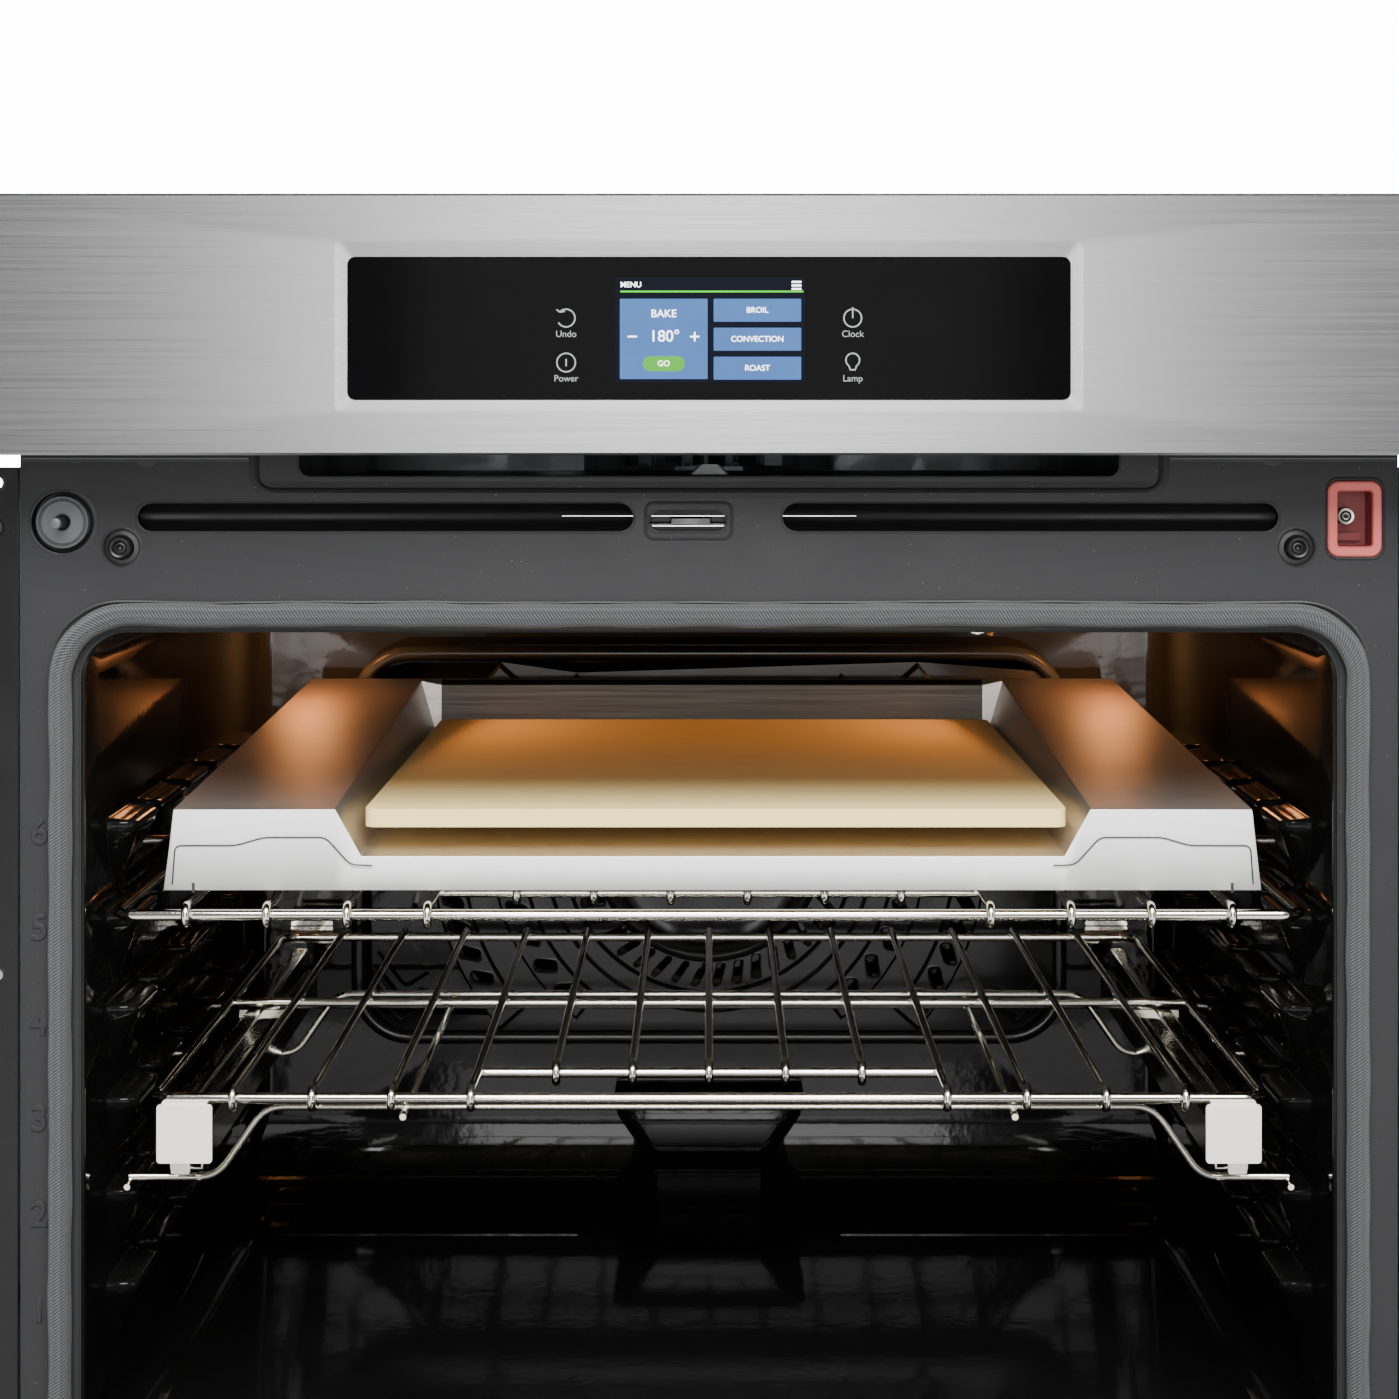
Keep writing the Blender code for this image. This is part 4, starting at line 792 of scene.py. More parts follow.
def ledge_rise(d, z):
    """How far the side wall stands in at one place, from the ledges pressed into it."""
    rise = 0.0
    for top in LEVEL_TOPS:
        if z > top + 0.0016 or z < top - 0.042:
            continue
        below = max(0.0, top - z)
        shelf = smooth_step(top + 0.0015, top - 0.0004, z)
        for start, end, drop, reach in LEDGES:
            t = min(1.0, max(0.0, below - 0.004) / (drop - 0.004))
            middle, tip = (start + end) / 2, min(0.010, (end - start) / 4)
            near, far = start + (middle - tip - start) * t, end + (middle + tip - end) * t
            ends = min(smooth_step(near, near + 0.006, d), smooth_step(far, far - 0.006, d))
            rise = max(rise, reach * shelf * (1 - t) * ends)
    return rise


def build_cavity():
    """The enamelled cavity: rounded shell, rolled front edge, pressed ledges and rear floor boss."""
    corner = 0.024
    shape = Shape("Y")

    def section(grow, w):
        return shape.ring(rounded(-CAVITY_HALF - grow, CAVITY_HALF + grow, CAVITY_LOW - grow,
                                  CAVITY_HIGH + grow,
                                  corner + grow, 10), w)

    front = [(0.0020, 0.0004), (0.0016, 0.0000), (0.0008, 0.0003), (0.0002, 0.0014), (0.0, 0.0030),
             (0.0, 0.030)]
    rings = [section(grow, depth(w)) for grow, w in front]
    rings += [section(0.0, y) for y in steps(depth(0.10), CAVITY_BACK - 0.012, 4)]
    rings += [section(-0.012 * (1 - math.cos(a)), CAVITY_BACK - 0.012 + 0.012 * math.sin(a))
              for a in steps(0.2, math.pi / 2, 6)]
    for first, second in zip(rings, rings[1:]):
        for k in range(len(first)):
            n = (k + 1) % len(first)
            beside_wall = (k + 1) % 11 == 0 and (k + 1) // 11 in (1, 3) and rings.index(first) >= 5
            if beside_wall and second is not rings[-1] and first[k].co.y < CAVITY_BACK - 0.0125:
                continue
            shape.bm.faces.new((first[k], first[n], second[n], second[k]))
    shape.fill(rings[-1], shape.ring(circle(0, FAN_Z, SHAFT_HOLE, 32), CAVITY_BACK))
    shape.piece("cavity_shell", BLACK_ENAMEL, "oven", ["cavity_liner"], angle=60)

    offsets = (0.0040, 0.0016, 0.0008, 0.0, -0.0006, -0.0014, -0.0026, -0.0040, -0.0060, -0.0090, -0.0125,
               -0.0160,
               -0.0200, -0.0250, -0.0300, -0.0350, -0.0400)
    rows = {CAVITY_LOW + corner, CAVITY_HIGH - corner}
    rows.update(top + o for top in LEVEL_TOPS for o in offsets)
    columns = steps(depth(0.030), depth(0.044), 2) + steps(depth(0.046), depth(0.436), 156)
    columns += steps(depth(0.440), CAVITY_BACK - 0.012, 5)
    for side, name in ((-1, "left"), (1, "right")):
        wall = Shape("X")
        wall.field(columns, sorted(rows), lambda y, z: side * (CAVITY_HALF - ledge_rise(y - FRONT,
                                                                                        z + LEDGE_DROP)))
        wall.piece(f"{name}_ledge_wall", BLACK_ENAMEL, "oven", angle=75)

    cove = Shape("X")
    arc = [(CAVITY_BACK - 0.0003 - 0.052 * (1 - math.cos(a)), CAVITY_LOW + 0.0003 + 0.052 * (1 - math.sin(a)))
           for a in steps(0, math.pi / 2, 14)]
    ends = [cove.ring(arc, x) for x in (-CAVITY_HALF + 0.004, CAVITY_HALF - 0.004)]
    for k in range(len(arc) - 1):
        cove.bm.faces.new((ends[0][k], ends[0][k + 1], ends[1][k + 1], ends[1][k]))
    cove.piece("rear_floor_cove", BLACK_ENAMEL, "oven")

    boss = Shape("Z")
    levels = [(CAVITY_LOW, 0.0500, -0.0150), (0.0900, 0.0480, -0.0330), (0.0935, 0.0480, -0.0390),
              (0.0960, 0.0485, -0.0400), (0.1060, 0.0560, -0.0400), (0.1180, 0.0640, -0.0395),
              (0.1280, 0.0665, -0.0370), (0.1330, 0.0660, -0.0300), (0.1350, 0.0650, -0.0040)]
    rings = []
    for z, half, near in levels:
        y = CAVITY_BACK + near
        rings.append(boss.ring(rounded(-half, half, y, CAVITY_BACK + 0.0300, 0.014, 8), z))
    boss.loft(rings).fill(rings[-1])
    boss.piece("rear_floor_boss", BLACK_ENAMEL, "oven", angle=50)

    bead = Shape()
    for z, y in ((CAVITY_LOW + 0.0002, CAVITY_BACK - 0.020), (CAVITY_LOW + 0.0002, CAVITY_BACK - 0.105)):
        points = [(x, y, z) for x in steps(-0.290, -0.088, 12)]
        bead.tube(points, 0.0016, 8)
        bead.tube([(-x, y, z) for x, y, z in points], 0.0016, 8)
    bead.piece("floor_beads", BLACK_ENAMEL, "oven")


def arc_outline(r0, r1, a0, a1, count=20):
    """A ring sector's outline around the fan's axis, with angles in degrees."""
    angles = [math.radians(a) for a in steps(a0, a1, count)]
    outer = [(r1 * math.cos(a), FAN_Z + r1 * math.sin(a)) for a in angles]
    return outer + [(r0 * math.cos(a), FAN_Z + r0 * math.sin(a)) for a in reversed(angles)]


FAN_RING, FAN_SLOTS, SLOT_LEAN = 0.0900, 42, math.radians(-22)
VANE_BANDS = ((0.1410, 9.0, 5), (0.1830, 6.0, 6))
BAND_LEAN = math.radians(-42)


def band_slots(radius, pitch, reach, centre):
    slots = []
    for i in range(-reach, reach + 1):
        a = math.radians(centre + i * pitch)
        at = (radius * math.cos(a), FAN_Z + radius * math.sin(a))
        slots.append(slot_outline(*at, a + BAND_LEAN, 0.0150, 0.0072))
    return slots


def build_fan_cover():
    """The fan's cover: a slotted ring around a dished middle, and raised bands of air slots."""
    near = low("fan_cover").y
    far = high("fan_cover").y
    shape = Shape("Y")
    face = rounded(-0.2405, 0.2405, 0.1760, 0.4400, 0.042, 12)
    foot = rounded(-0.2500, 0.2500, 0.1665, 0.4435, 0.046, 12)
    edge = rounded(-0.2440, 0.2440, 0.1725, 0.4420, 0.044, 12)
    shape.loft([shape.ring(foot, far), shape.ring(foot, far - 0.004), shape.ring(edge, near + 0.0035)])
    lip_ring = [shape.ring(edge, near + 0.0035), shape.ring(rounded(-0.2425, 0.2425, 0.1740, 0.4410, 0.043,
                                                                    12),
                                                            near + 0.0008), shape.ring(face, near)]
    shape.loft(lip_ring)
    holes = []
    for radius, pitch, reach in VANE_BANDS:
        span = pitch * (reach + 0.75)
        for centre in (0, 180):
            low_r, high_r = radius - 0.0095, radius + 0.0095
            base = arc_outline(low_r - 0.0022, high_r + 0.0022, centre - span - 1.0, centre + span + 1.0)
            top = arc_outline(low_r, high_r, centre - span, centre + span)
            middle = arc_outline(low_r - 0.0006, high_r + 0.0006, centre - span - 0.3, centre + span + 0.3)
            rings = [shape.ring(base, near), shape.ring(middle, near - 0.0022),
                     shape.ring(top, near - 0.0030)]
            shape.loft(rings)
            rims = []
            for outline in band_slots(radius, pitch, reach, centre):
                rims.append(lipped_hole(shape, outline, near - 0.0030, near + COVER_LIP, 0.0013))
            shape.fill(rings[-1], *rims)
            holes.append(rings[0])
    for i in range(FAN_SLOTS):
        a = 2 * math.pi * i / FAN_SLOTS
        at = (FAN_RING * math.cos(a), FAN_Z + FAN_RING * math.sin(a))
        holes.append(lipped_hole(shape, slot_outline(*at, a + SLOT_LEAN, 0.0165, 0.0052), near,
                                 near + COVER_LIP, 0.0009))
    dish = [circle(0, FAN_Z, r, 72) for r in (0.0790, 0.0770, 0.0745, 0.0700, 0.0680, 0.0655, 0.0600, 0.0300,
                                              0.0060)]
    rises = (0.0, -0.0016, -0.0010, 0.0022, 0.0014, 0.0022, 0.0026, 0.0020, 0.0018)
    rings = [shape.ring(o, near + w) for o, w in zip(dish, rises)]
    shape.loft(rings).fill(rings[-1])
    holes.append(rings[0])
    shape.fill(lip_ring[-1], *holes)
    shape.piece("fan_cover_pressing", COVER_ENAMEL, "oven", ["fan_cover"], angle=32)

    ridges = Shape("Y")
    for radius, height, width in ((0.1020, 0.0016, 0.0030), (0.1150, 0.0009, 0.0030),
                                  (0.0800, 0.0012, 0.0022)):
        loops = []
        for k in range(7):
            t = k / 3 - 1
            rise = height * (0.5 + 0.5 * math.cos(math.pi * t))
            loops.append(ridges.ring(circle(0, FAN_Z, radius + t * width / 2, 96), near - 0.0001 - rise))
        ridges.loft(loops)
    ridges.piece("fan_cover_ridges", COVER_ENAMEL, "oven")
    rim = Shape("Y")
    border = [(x, near + 0.0006, z) for x, z in rounded(-0.2452, 0.2452, 0.1718, 0.4402, 0.036, 10)]
    rim.tube(border, 0.0052, 12, True)
    for side in (-1, 1):
        ear = [(side * 0.2360, 0, 0.2080), (side * 0.2160, 0, 0.1830), (side * 0.2000, 0, 0.1930)]
        rim.tube([(p.x, near - 0.0002, p.z) for p in bend_path(ear, 0.004, 6)], 0.0022, 8)
        rim.tube([(p.x, near - 0.0002, p.z + 0.013) for p in bend_path(ear, 0.004, 6)], 0.0014, 8)
    rim.piece("fan_cover_rim", COVER_ENAMEL, "oven")


LAMP_X, LAMP_Y, CEILING = 0.273, depth(0.430), CAVITY_HIGH


def build_lamps():
    """Lamp lenses in chrome rings on the cavity's ceiling, over the sides of the tray."""
    for side, name in ((-1, "left"), (1, "right")):
        at = (side * LAMP_X, LAMP_Y, CEILING)
        lens = Shape()
        lens.turned([(0, -0.0215), (0.0060, -0.0210), (0.0130, -0.0192), (0.0190, -0.0155), (0.0215, -0.0105),
                     (0.0220, -0.0030), (0.0180, -0.0010), (0.0180, 0.0004), (0, 0.0004)], at, "Z", 36)
        lens.piece(f"{name}_lamp_lens", LAMP_GLASS, "oven", [f"{name}_lamp"])
        socket = Shape()
        socket.turned([(0, 0.0006), (0.0180, 0.0006), (0.0180, 0.0190), (0.0120, 0.0200), (0.0120, 0.0410),
                       (0, 0.0410)],
                      at, "Z", 24)
        socket.piece(f"{name}_lamp_socket", ZINC, "oven")
        ring = Shape()
        ring.turned([(0.0222, -0.0002), (0.0222, -0.0095), (0.0228, -0.0105), (0.0234, -0.0098),
                     (0.0238, -0.0050),
                     (0.0240, -0.0002), (0.0222, -0.0002)], at, "Z", 36)
        ring.piece(f"{name}_lamp_ring", NICKEL, "oven")


# ---------------------------------------------------------------- racks
BAR, WIRE = 0.0030, 0.0024


def hooked_wire(shape, x, front, back, bar_z, curl=250):
    """A rack wire that lies on the bars and curls round the front one."""
    reach = BAR + WIRE - 0.0005
    top = bar_z + BAR + WIRE - 0.0010
    path = [(x, back, top), (x, (front + back) / 2, top), (x, front + 0.012, top)]
    for a in steps(78, curl, 12):
        angle = math.radians(a)
        path.append((x, front + reach * math.cos(angle), bar_z + reach * math.sin(angle)))
    shape.tube(path, WIRE, 14)


def build_rack(name, z, half, depths, count, short):
    """A plated wire rack: bars, wires hooked on the front bar, and short wires on a bar set back."""
    front, recess, middle, back = (depth(d) for d in depths)
    shape = Shape("Z")
    outline = rounded(-half, half, front, back, 0.012, 8)
    shape.tube([(x, y, z) for x, y in outline], BAR, 16, True)
    first = -(count - 1) / 2
    for i in range(count):
        inner = abs(first + i) <= (short - 1) / 2
        hooked_wire(shape, (first + i) * RACK_PITCH, recess if inner else front, back, z)
    reach = (short + 1) / 2 * RACK_PITCH
    shape.tube([(-reach, recess, z), (reach, recess, z)], BAR * 0.93, 16)
    shape.tube([(-half, middle, z), (half, middle, z)], BAR * 0.93, 16)
    welds = Shape("Z")
    for i in range(count):
        x = (first + i) * RACK_PITCH
        for y in (middle, back):
            welds.turned([(0, 0.0012), (0.0034, 0.0010), (0.0040, -0.0004), (0, -0.0016)], (x, y, z + BAR),
                         "Z", 10)
    welds.piece(f"{name}_welds", CHROME_WIRE, name)
    return shape.piece(f"{name}_wires", CHROME_WIRE, name, [name])


def build_glide():
    """The frame under the glide rack, its slides, and the square caps at their front ends."""
    rack_z = 0.2457
    rail_x, rail_z, wire = 0.3085, 0.1985, 0.0022
    low_z, high_z = 0.2022, rack_z - BAR - wire - 0.0007
    shape = Shape("Z")
    for side in (-1, 1):
        rail = [(side * rail_x, depth(0.040), rail_z), (side * rail_x, depth(0.462), rail_z)]
        shape.tube(rail, lambda t: BAR * (0.55 if t in (0.0, 1.0) else 1.0), 14)
    hump = [(-rail_x, low_z), (-0.262, low_z), (-0.236, high_z), (0.236, high_z), (0.262, low_z),
            (rail_x, low_z)]
    for d in (0.0465, 0.3130):
        shape.tube(bend_path([(x, depth(d), z) for x, z in hump], 0.010), wire, 14)
    shape.tube([(-rail_x, depth(0.445), low_z), (rail_x, depth(0.445), low_z)], wire, 14)
    for x in (-0.162, 0.162):
        z = high_z - 0.0035
        shape.tube([(x, depth(0.0375), z), (x, depth(0.0385), z), (x, depth(0.317), z), (x, depth(0.318), z)],
                   lambda t: wire * (0.8 if t in (0.0, 1.0) else 1.0), 14)
    shape.piece("glide_base_wires", CHROME_WIRE, "oven", ["glide_base"])
    clips = Shape("Y")
    for side in (-1, 1):
        for d, z0, z1 in ((0.4665, 0.2405, 0.2425), (0.4665, 0.2440, 0.2520), (0.4660, 0.2530, 0.2560),
                          (0.2675, 0.2350, 0.2400)):
            span = sorted((side * 0.2610, side * 0.2900))
            clips.plate(rounded(*span, z0, z1, 0.0008), depth(d), depth(d + 0.0016))
    clips.piece("rack_clips", SLIDE_STEEL, "glide_rack", bevel=0.0003)
    for side, name in ((-1, "left"), (1, "right")):
        inner, outer, bottom, top, sheet = 0.2700, 0.2880, 0.2048, 0.2248, 0.0014
        section = [(inner, bottom), (outer, bottom), (outer, top), (outer - sheet, top),
                   (outer - sheet, bottom + sheet),
                   (inner + sheet, bottom + sheet), (inner + sheet, top), (inner, top)]
        channel = Shape("Y")
        channel.plate([(side * x, z) for x, z in section], depth(0.050), depth(0.455))
        channel.piece(f"{name}_slide_channel", SLIDE_STEEL, "oven", [f"{name}_slide_rail"], bevel=0.0004)
        runner = Shape("Y")
        bar = rounded(*sorted((side * 0.2740, side * 0.2840)), bottom + 0.0020, rack_z - BAR - 0.0005, 0.0016)
        runner.plate(bar, depth(0.0345), depth(0.440))
        runner.piece(f"{name}_slide_bar", SLIDE_STEEL, "glide_rack", [f"{name}_slide_runner"], bevel=0.0003)
        runner = Shape("Y")
        lip_x = sorted((side * 0.2622, side * 0.2914))
        runner.plate(rounded(*lip_x, 0.2130, 0.2440, 0.0020), depth(0.0330), depth(0.0345))
        fold = [(0.0330, 0.2436), (0.0332, 0.2448), (0.0340, 0.2452), (0.0420, 0.2452), (0.0420, 0.2441),
                (0.0345, 0.2439)]
        tab_x = sorted((side * 0.2650, side * 0.2886))
        runner.plate([(depth(d), z) for d, z in fold], *tab_x, axis="X")
        runner.piece(f"{name}_slide_cap", CAP_STEEL, "glide_rack", bevel=0.0005)


# ---------------------------------------------------------------- tray and stone
def build_tray():
    """The folded steel pizza tray: two raised wings and a sunken middle, with welded front seams."""
    base = low("pizza_tray").z
    near, far, centre, wall = 0.0425, 0.4680, 0.002, 0.0025
    front_top, back_top, lip, floor = 0.3985, 0.4240, 0.3735, 0.3750
    rows = [near - wall, near - 0.0002, near + 0.0080, far - 0.0115, far - 0.0105, far - 0.0040, far,
            far + wall]
    shape = Shape("Z")
    grid = []
    for j, d in enumerate(rows):
        run = min(1.0, max(0.0, (d - near) / (far - near)))
        edge = 0.2865 - 0.009 * run
        halves = [edge + 0.0045, edge, 0.2005, 0.1867]
        line = []
        offsets = [-h for h in halves] + halves[::-1]
        for i, offset in enumerate(offsets):
            z = front_top + (back_top - front_top) * run
            if i in (3, 4) and j in (1, 2, 3, 4):
                z = (lip, floor, floor, back_top - 0.0030)[j - 1]
            if j in (0, len(rows) - 1) or i in (0, len(offsets) - 1):
                z = base + 0.0012
            line.append(shape.bm.verts.new((centre + offset, depth(d), z)))
        grid.append(line)
    for j, (low_row, high_row) in enumerate(zip(grid, grid[1:])):
        for i in range(len(low_row) - 1):
            face = shape.bm.faces.new((low_row[i], low_row[i + 1], high_row[i + 1], high_row[i]))
            # Index 1, the front face, takes the painted light; index 2, the rear wall of the sunken middle,
            # takes the painted shade.
            face.material_index = 1 if j == 0 else 2 * int(i == 3 and j in (3, 4))
    tray = shape.piece("tray_shell", TRAY_STEEL, "pizza_tray", ["pizza_tray"], angle=60)
    for material in (TRAY_FRONT_LIT, TRAY_WELL_SHADE):
        tray.data.materials.append(material)
    fold = tray.modifiers.new("Folds", "BEVEL")
    fold.width, fold.segments, fold.limit_method, fold.angle_limit = 0.0042, 5, "ANGLE", math.radians(14)
    sheet = tray.modifiers.new("Sheet", "SOLIDIFY")
    sheet.thickness, sheet.offset = 0.0010, -1.0

    seam = [(-0.2844, 0.3590), (-0.2832, 0.3794), (-0.2511, 0.3794), (-0.2362, 0.3837), (-0.2034, 0.3837),
            (-0.1902, 0.3694), (-0.1785, 0.3689)]
    marks = Shape()
    for side in (1, -1):
        line = bend_path([(side * (x - centre) + centre, 0, z) for x, z in seam], 0.0035, 5)
        path = []
        for p in line:
            lean = min(1.0, max(0.0, (p.z - base) / (front_top - base)))
            path.append((p.x, depth(near - wall + wall * lean) - 0.0006, p.z))
        marks.tube(path, 0.00042, 6)
        # The dark block at the lower front edge is painted shade of a narrow slit; the thin lines are the
        # welds' dark seams.
        at = side * 0.2753 + centre
        marks.block((at - 0.0007, at + 0.0007), (depth(near - wall) - 0.0004, depth(near)),
                    (base, base + 0.0050))
    marks.piece("tray_seams_and_slit_shade", SEAM_AND_SHADE, "pizza_tray")


def build_stone():
    x0, y0, z0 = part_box("pizza_stone")[0]
    x1, y1, z1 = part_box("pizza_stone")[1]
    shape = Shape("Z")
    outline = rounded(x0, x1, y0, y1, 0.0065, 6)
    shape.plate(outline, z0, z1)
    shape.piece("stone_slab", STONE, "pizza_stone", ["pizza_stone"], bevel=0.0016)


# ---------------------------------------------------------------- control panel
def build_fascia():
    """The brushed panel: folded returns, and a shallow sloping frame pressed around the glass."""
    shape = Shape("Y")
    near, back = FASCIA_FRONT, high("control_fascia").y
    outer = rounded(-HALF_OVERALL, HALF_OVERALL, FASCIA_LOW, FASCIA_HIGH, 0.0015, 3)
    soft = rounded(-HALF_OVERALL + 0.0012, HALF_OVERALL - 0.0012, FASCIA_LOW + 0.0012, FASCIA_HIGH - 0.0012,
                   0.0015, 3)
    rim = [shape.ring(outer, back), shape.ring(outer, near + 0.0012), shape.ring(soft, near)]
    shape.loft(rim)
    press = [(-0.1862, 0.1862, 0.6085, 0.6951, 0.0040, 0.0),
             (-0.1852, 0.1852, 0.6095, 0.6941, 0.0038, 0.00005),
             (-0.1842, 0.1842, 0.6105, 0.6931, 0.0036, 0.00018),
             (-0.1806, 0.1806, 0.6143, 0.6875, 0.0036, 0.0008),
             (-0.1797, 0.1797, 0.6153, 0.6865, 0.0038, 0.00095),
             (-0.1795, 0.1795, 0.6155, 0.6863, 0.0038, 0.0014),
             (-0.1795, 0.1795, 0.6155, 0.6863, 0.0038, 0.0050)]
    rings = [shape.ring(rounded(x0, x1, z0, z1, r, 4), near + w) for x0, x1, z0, z1, r, w in press]
    shape.loft(rings).fill(rim[-1], rings[0])
    lip = [(u * 0.997, v + (0.653 - v) * 0.012) for u, v in outer]
    shape.loft([rim[0], shape.ring(lip, back)])
    shape.piece("fascia_pressing", STAINLESS, "oven", ["control_fascia"], angle=24)

    pane = Shape("Y")
    pane.plate(rounded(-0.1793, 0.1793, 0.6157, 0.6861, 0.0036, 6), near + 0.0018, near + 0.0050)
    pane.piece("control_pane", CONTROL_GLASS, "oven", ["control_glass"], bevel=0.0005)


def arc_icon(shape, x, z, y, radius, start, end, width=0.0007):
    """A flat arc line of an icon."""
    angles = [math.radians(a) for a in steps(start, end, 28)]
    outline = [(x + (radius + width / 2) * math.cos(a),
                z + (radius + width / 2) * math.sin(a)) for a in angles]
    outline += [(x + (radius - width / 2) * math.cos(a),
                 z + (radius - width / 2) * math.sin(a)) for a in angles[::-1]]
    shape.plate(outline, y, y + 0.00006, axis="Y")


def stroke(shape, points, y, width=0.00055):
    """A straight line of an icon, drawn as a thin flat bar."""
    for (x0, z0), (x1, z1) in zip(points, points[1:]):
        across = Vector((z0 - z1, x1 - x0)).normalized() * width / 2
        outline = [(x0 + across.x, z0 + across.y), (x0 - across.x, z0 - across.y),
                   (x1 - across.x, z1 - across.y), (x1 + across.x, z1 + across.y)]
        shape.plate(outline, y, y + 0.00006, axis="Y")


def tile(name, x0, x1, z0, z1, y, material, radius=0.0010):
    shape = Shape("Y")
    shape.plate(rounded(x0, x1, z0, z1, radius, 5), y, y + 0.00005)
    return shape.piece(name, material, "oven")


def build_screen():
    """The lit colour screen and the printed keys beside it, with generic words only."""
    face = FASCIA_FRONT + 0.0018
    y = face - 0.00012
    tile("screen_panel", -0.0466, 0.0476, 0.6240, 0.6764, y, SCREEN_BACK, 0.0006)
    tile("screen_rule", -0.0441, 0.0469, 0.6689, 0.6697, y - 0.00010, SCREEN_RULE, 0.0002)
    tile("screen_main_tile", -0.0443, -0.0007, 0.6258, 0.6657, y - 0.00006, SCREEN_TILE, 0.0005)
    at = y - 0.00016
    for i, (word, z) in enumerate((("BROIL", 0.6600), ("CONVECTION", 0.6456), ("ROAST", 0.6312))):
        tile(f"screen_tile_{i}", 0.0023, 0.0458, z - 0.0057, z + 0.0057, y - 0.00006, SCREEN_TILE, 0.0005)
        text(f"screen_word_{i}", word, 0.0040, 0.0240, z, at, SCREEN_WHITE, "oven", weight=0.00003)
    text("screen_title", "MENU", 0.0038, -0.0441, 0.6726, at, SCREEN_WHITE, "oven", "LEFT", 0.00003)
    text("screen_mode", "BAKE", 0.0054, -0.0225, 0.6582, at, SCREEN_WHITE, "oven", weight=0.00003)
    text("screen_heat", "180°", 0.0080, -0.0220, 0.6469, at, SCREEN_WHITE, "oven", weight=0.00003)
    tile("screen_button", -0.0329, -0.0120, 0.6297, 0.6372, y - 0.00012, SCREEN_GREEN, 0.0036)
    text("screen_start", "GO", 0.0040, -0.0225, 0.63345, at, SCREEN_WHITE, "oven", weight=0.00003)
    marks = Shape("Y")
    for i in range(3):
        z = 0.6723 + (i - 1) * 0.00174
        stroke(marks, [(0.0411, z), (0.0459, z)], at, 0.0009)
    for x in (-0.0381, -0.0071):
        stroke(marks, [(x - 0.0023, 0.6469), (x + 0.0023, 0.6469)], at, 0.0008)
    stroke(marks, [(-0.0071, 0.6446), (-0.0071, 0.6492)], at, 0.0008)
    marks.piece("screen_marks", SCREEN_WHITE, "oven")

    keys = Shape("Y")
    left, right, upper, lower = -0.0710, 0.0714, 0.6561, 0.6340
    wide = 0.0007
    arc_icon(keys, left, upper, at, 0.0044, -150, 130)
    stroke(keys, [(left - 0.0048, upper + 0.0042), (left - 0.0030, upper + 0.0030),
                  (left - 0.0006, upper + 0.0034)], at, wide)
    arc_icon(keys, left, lower, at, 0.0046, 0, 360)
    stroke(keys, [(left, lower - 0.0018), (left, lower + 0.0018)], at, wide)
    arc_icon(keys, right, upper, at, 0.0044, 0, 360)
    stroke(keys, [(right, upper), (right, upper + 0.0054)], at, wide)
    arc_icon(keys, right, lower + 0.0012, at, 0.0034, -50, 230)
    for x in (-0.0020, 0.0020):
        stroke(keys, [(right + x, lower - 0.0014), (right + x * 0.65, lower - 0.0034)], at, wide)
    stroke(keys, [(right - 0.0014, lower - 0.0036), (right + 0.0014, lower - 0.0036)], at, wide)
    keys.piece("key_icons", KEY_PRINT, "oven")
    for key, word, x, z in (("back", "Undo", left, upper), ("power", "Power", left, lower),
                            ("timer", "Clock", right, upper), ("light", "Lamp", right, lower)):
        text(f"key_{key}", word, 0.0046, x, z - 0.0080, at, KEY_PRINT, "oven")


# ---------------------------------------------------------------- trims and casing
def build_trims():
    """The enamelled side trims with their mounting holes and rubber pads; the slotted bottom trim stays as
    its CAD node.
    """
    for side, name in ((-1, "left"), (1, "right")):
        shape = Shape("Y")
        inner, outer = side * 0.3553, side * 0.3810
        z0, z1 = 0.0095, 0.5810
        outline = [(inner, z0), (outer, z0), (outer, z1 - 0.0040), (outer - side * 0.0050, z1), (inner, z1)]
        if side < 0:
            outline = outline[::-1]
        near = depth(-0.0018)
        holes = [circle(side * 0.3660, z, 0.0030, 20) for z in (0.070, 0.320, 0.573)]
        front = shape.ring(outline, near)
        rims = [lipped_hole(shape, o, near, near + 0.0014, 0.0006) for o in holes]
        shape.fill(front, *rims)
        behind = shape.ring(outline, near + 0.0014)
        shape.loft([front, behind])
        shape.fill(behind, *(shape.ring(o, near + 0.0014) for o in holes))
        lip = sorted((inner, inner + side * 0.0014))
        shape.block(lip, (near + 0.0002, depth(0.0278)), (z0, z1))
        shape.piece(f"{name}_trim_sheet", TRIM_ENAMEL, "oven", [f"{name}_side_trim"], bevel=0.0005)
        bump = Shape()
        bump.turned([(0, 0.0005), (0.0052, 0.0005), (0.0050, -0.0012), (0.0040, -0.0022), (0.0, -0.0026)],
                    (side * 0.3672, depth(-0.0018), 0.5500), "Y", 24)
        bump.piece(f"{name}_trim_pad", RUBBER, "oven")


def sheet_details(name, material, body, build, **options):
    """One piece that gathers small fittings built by a callback."""
    shape = Shape()
    build(shape)
    return shape.piece(name, material, body, **options)


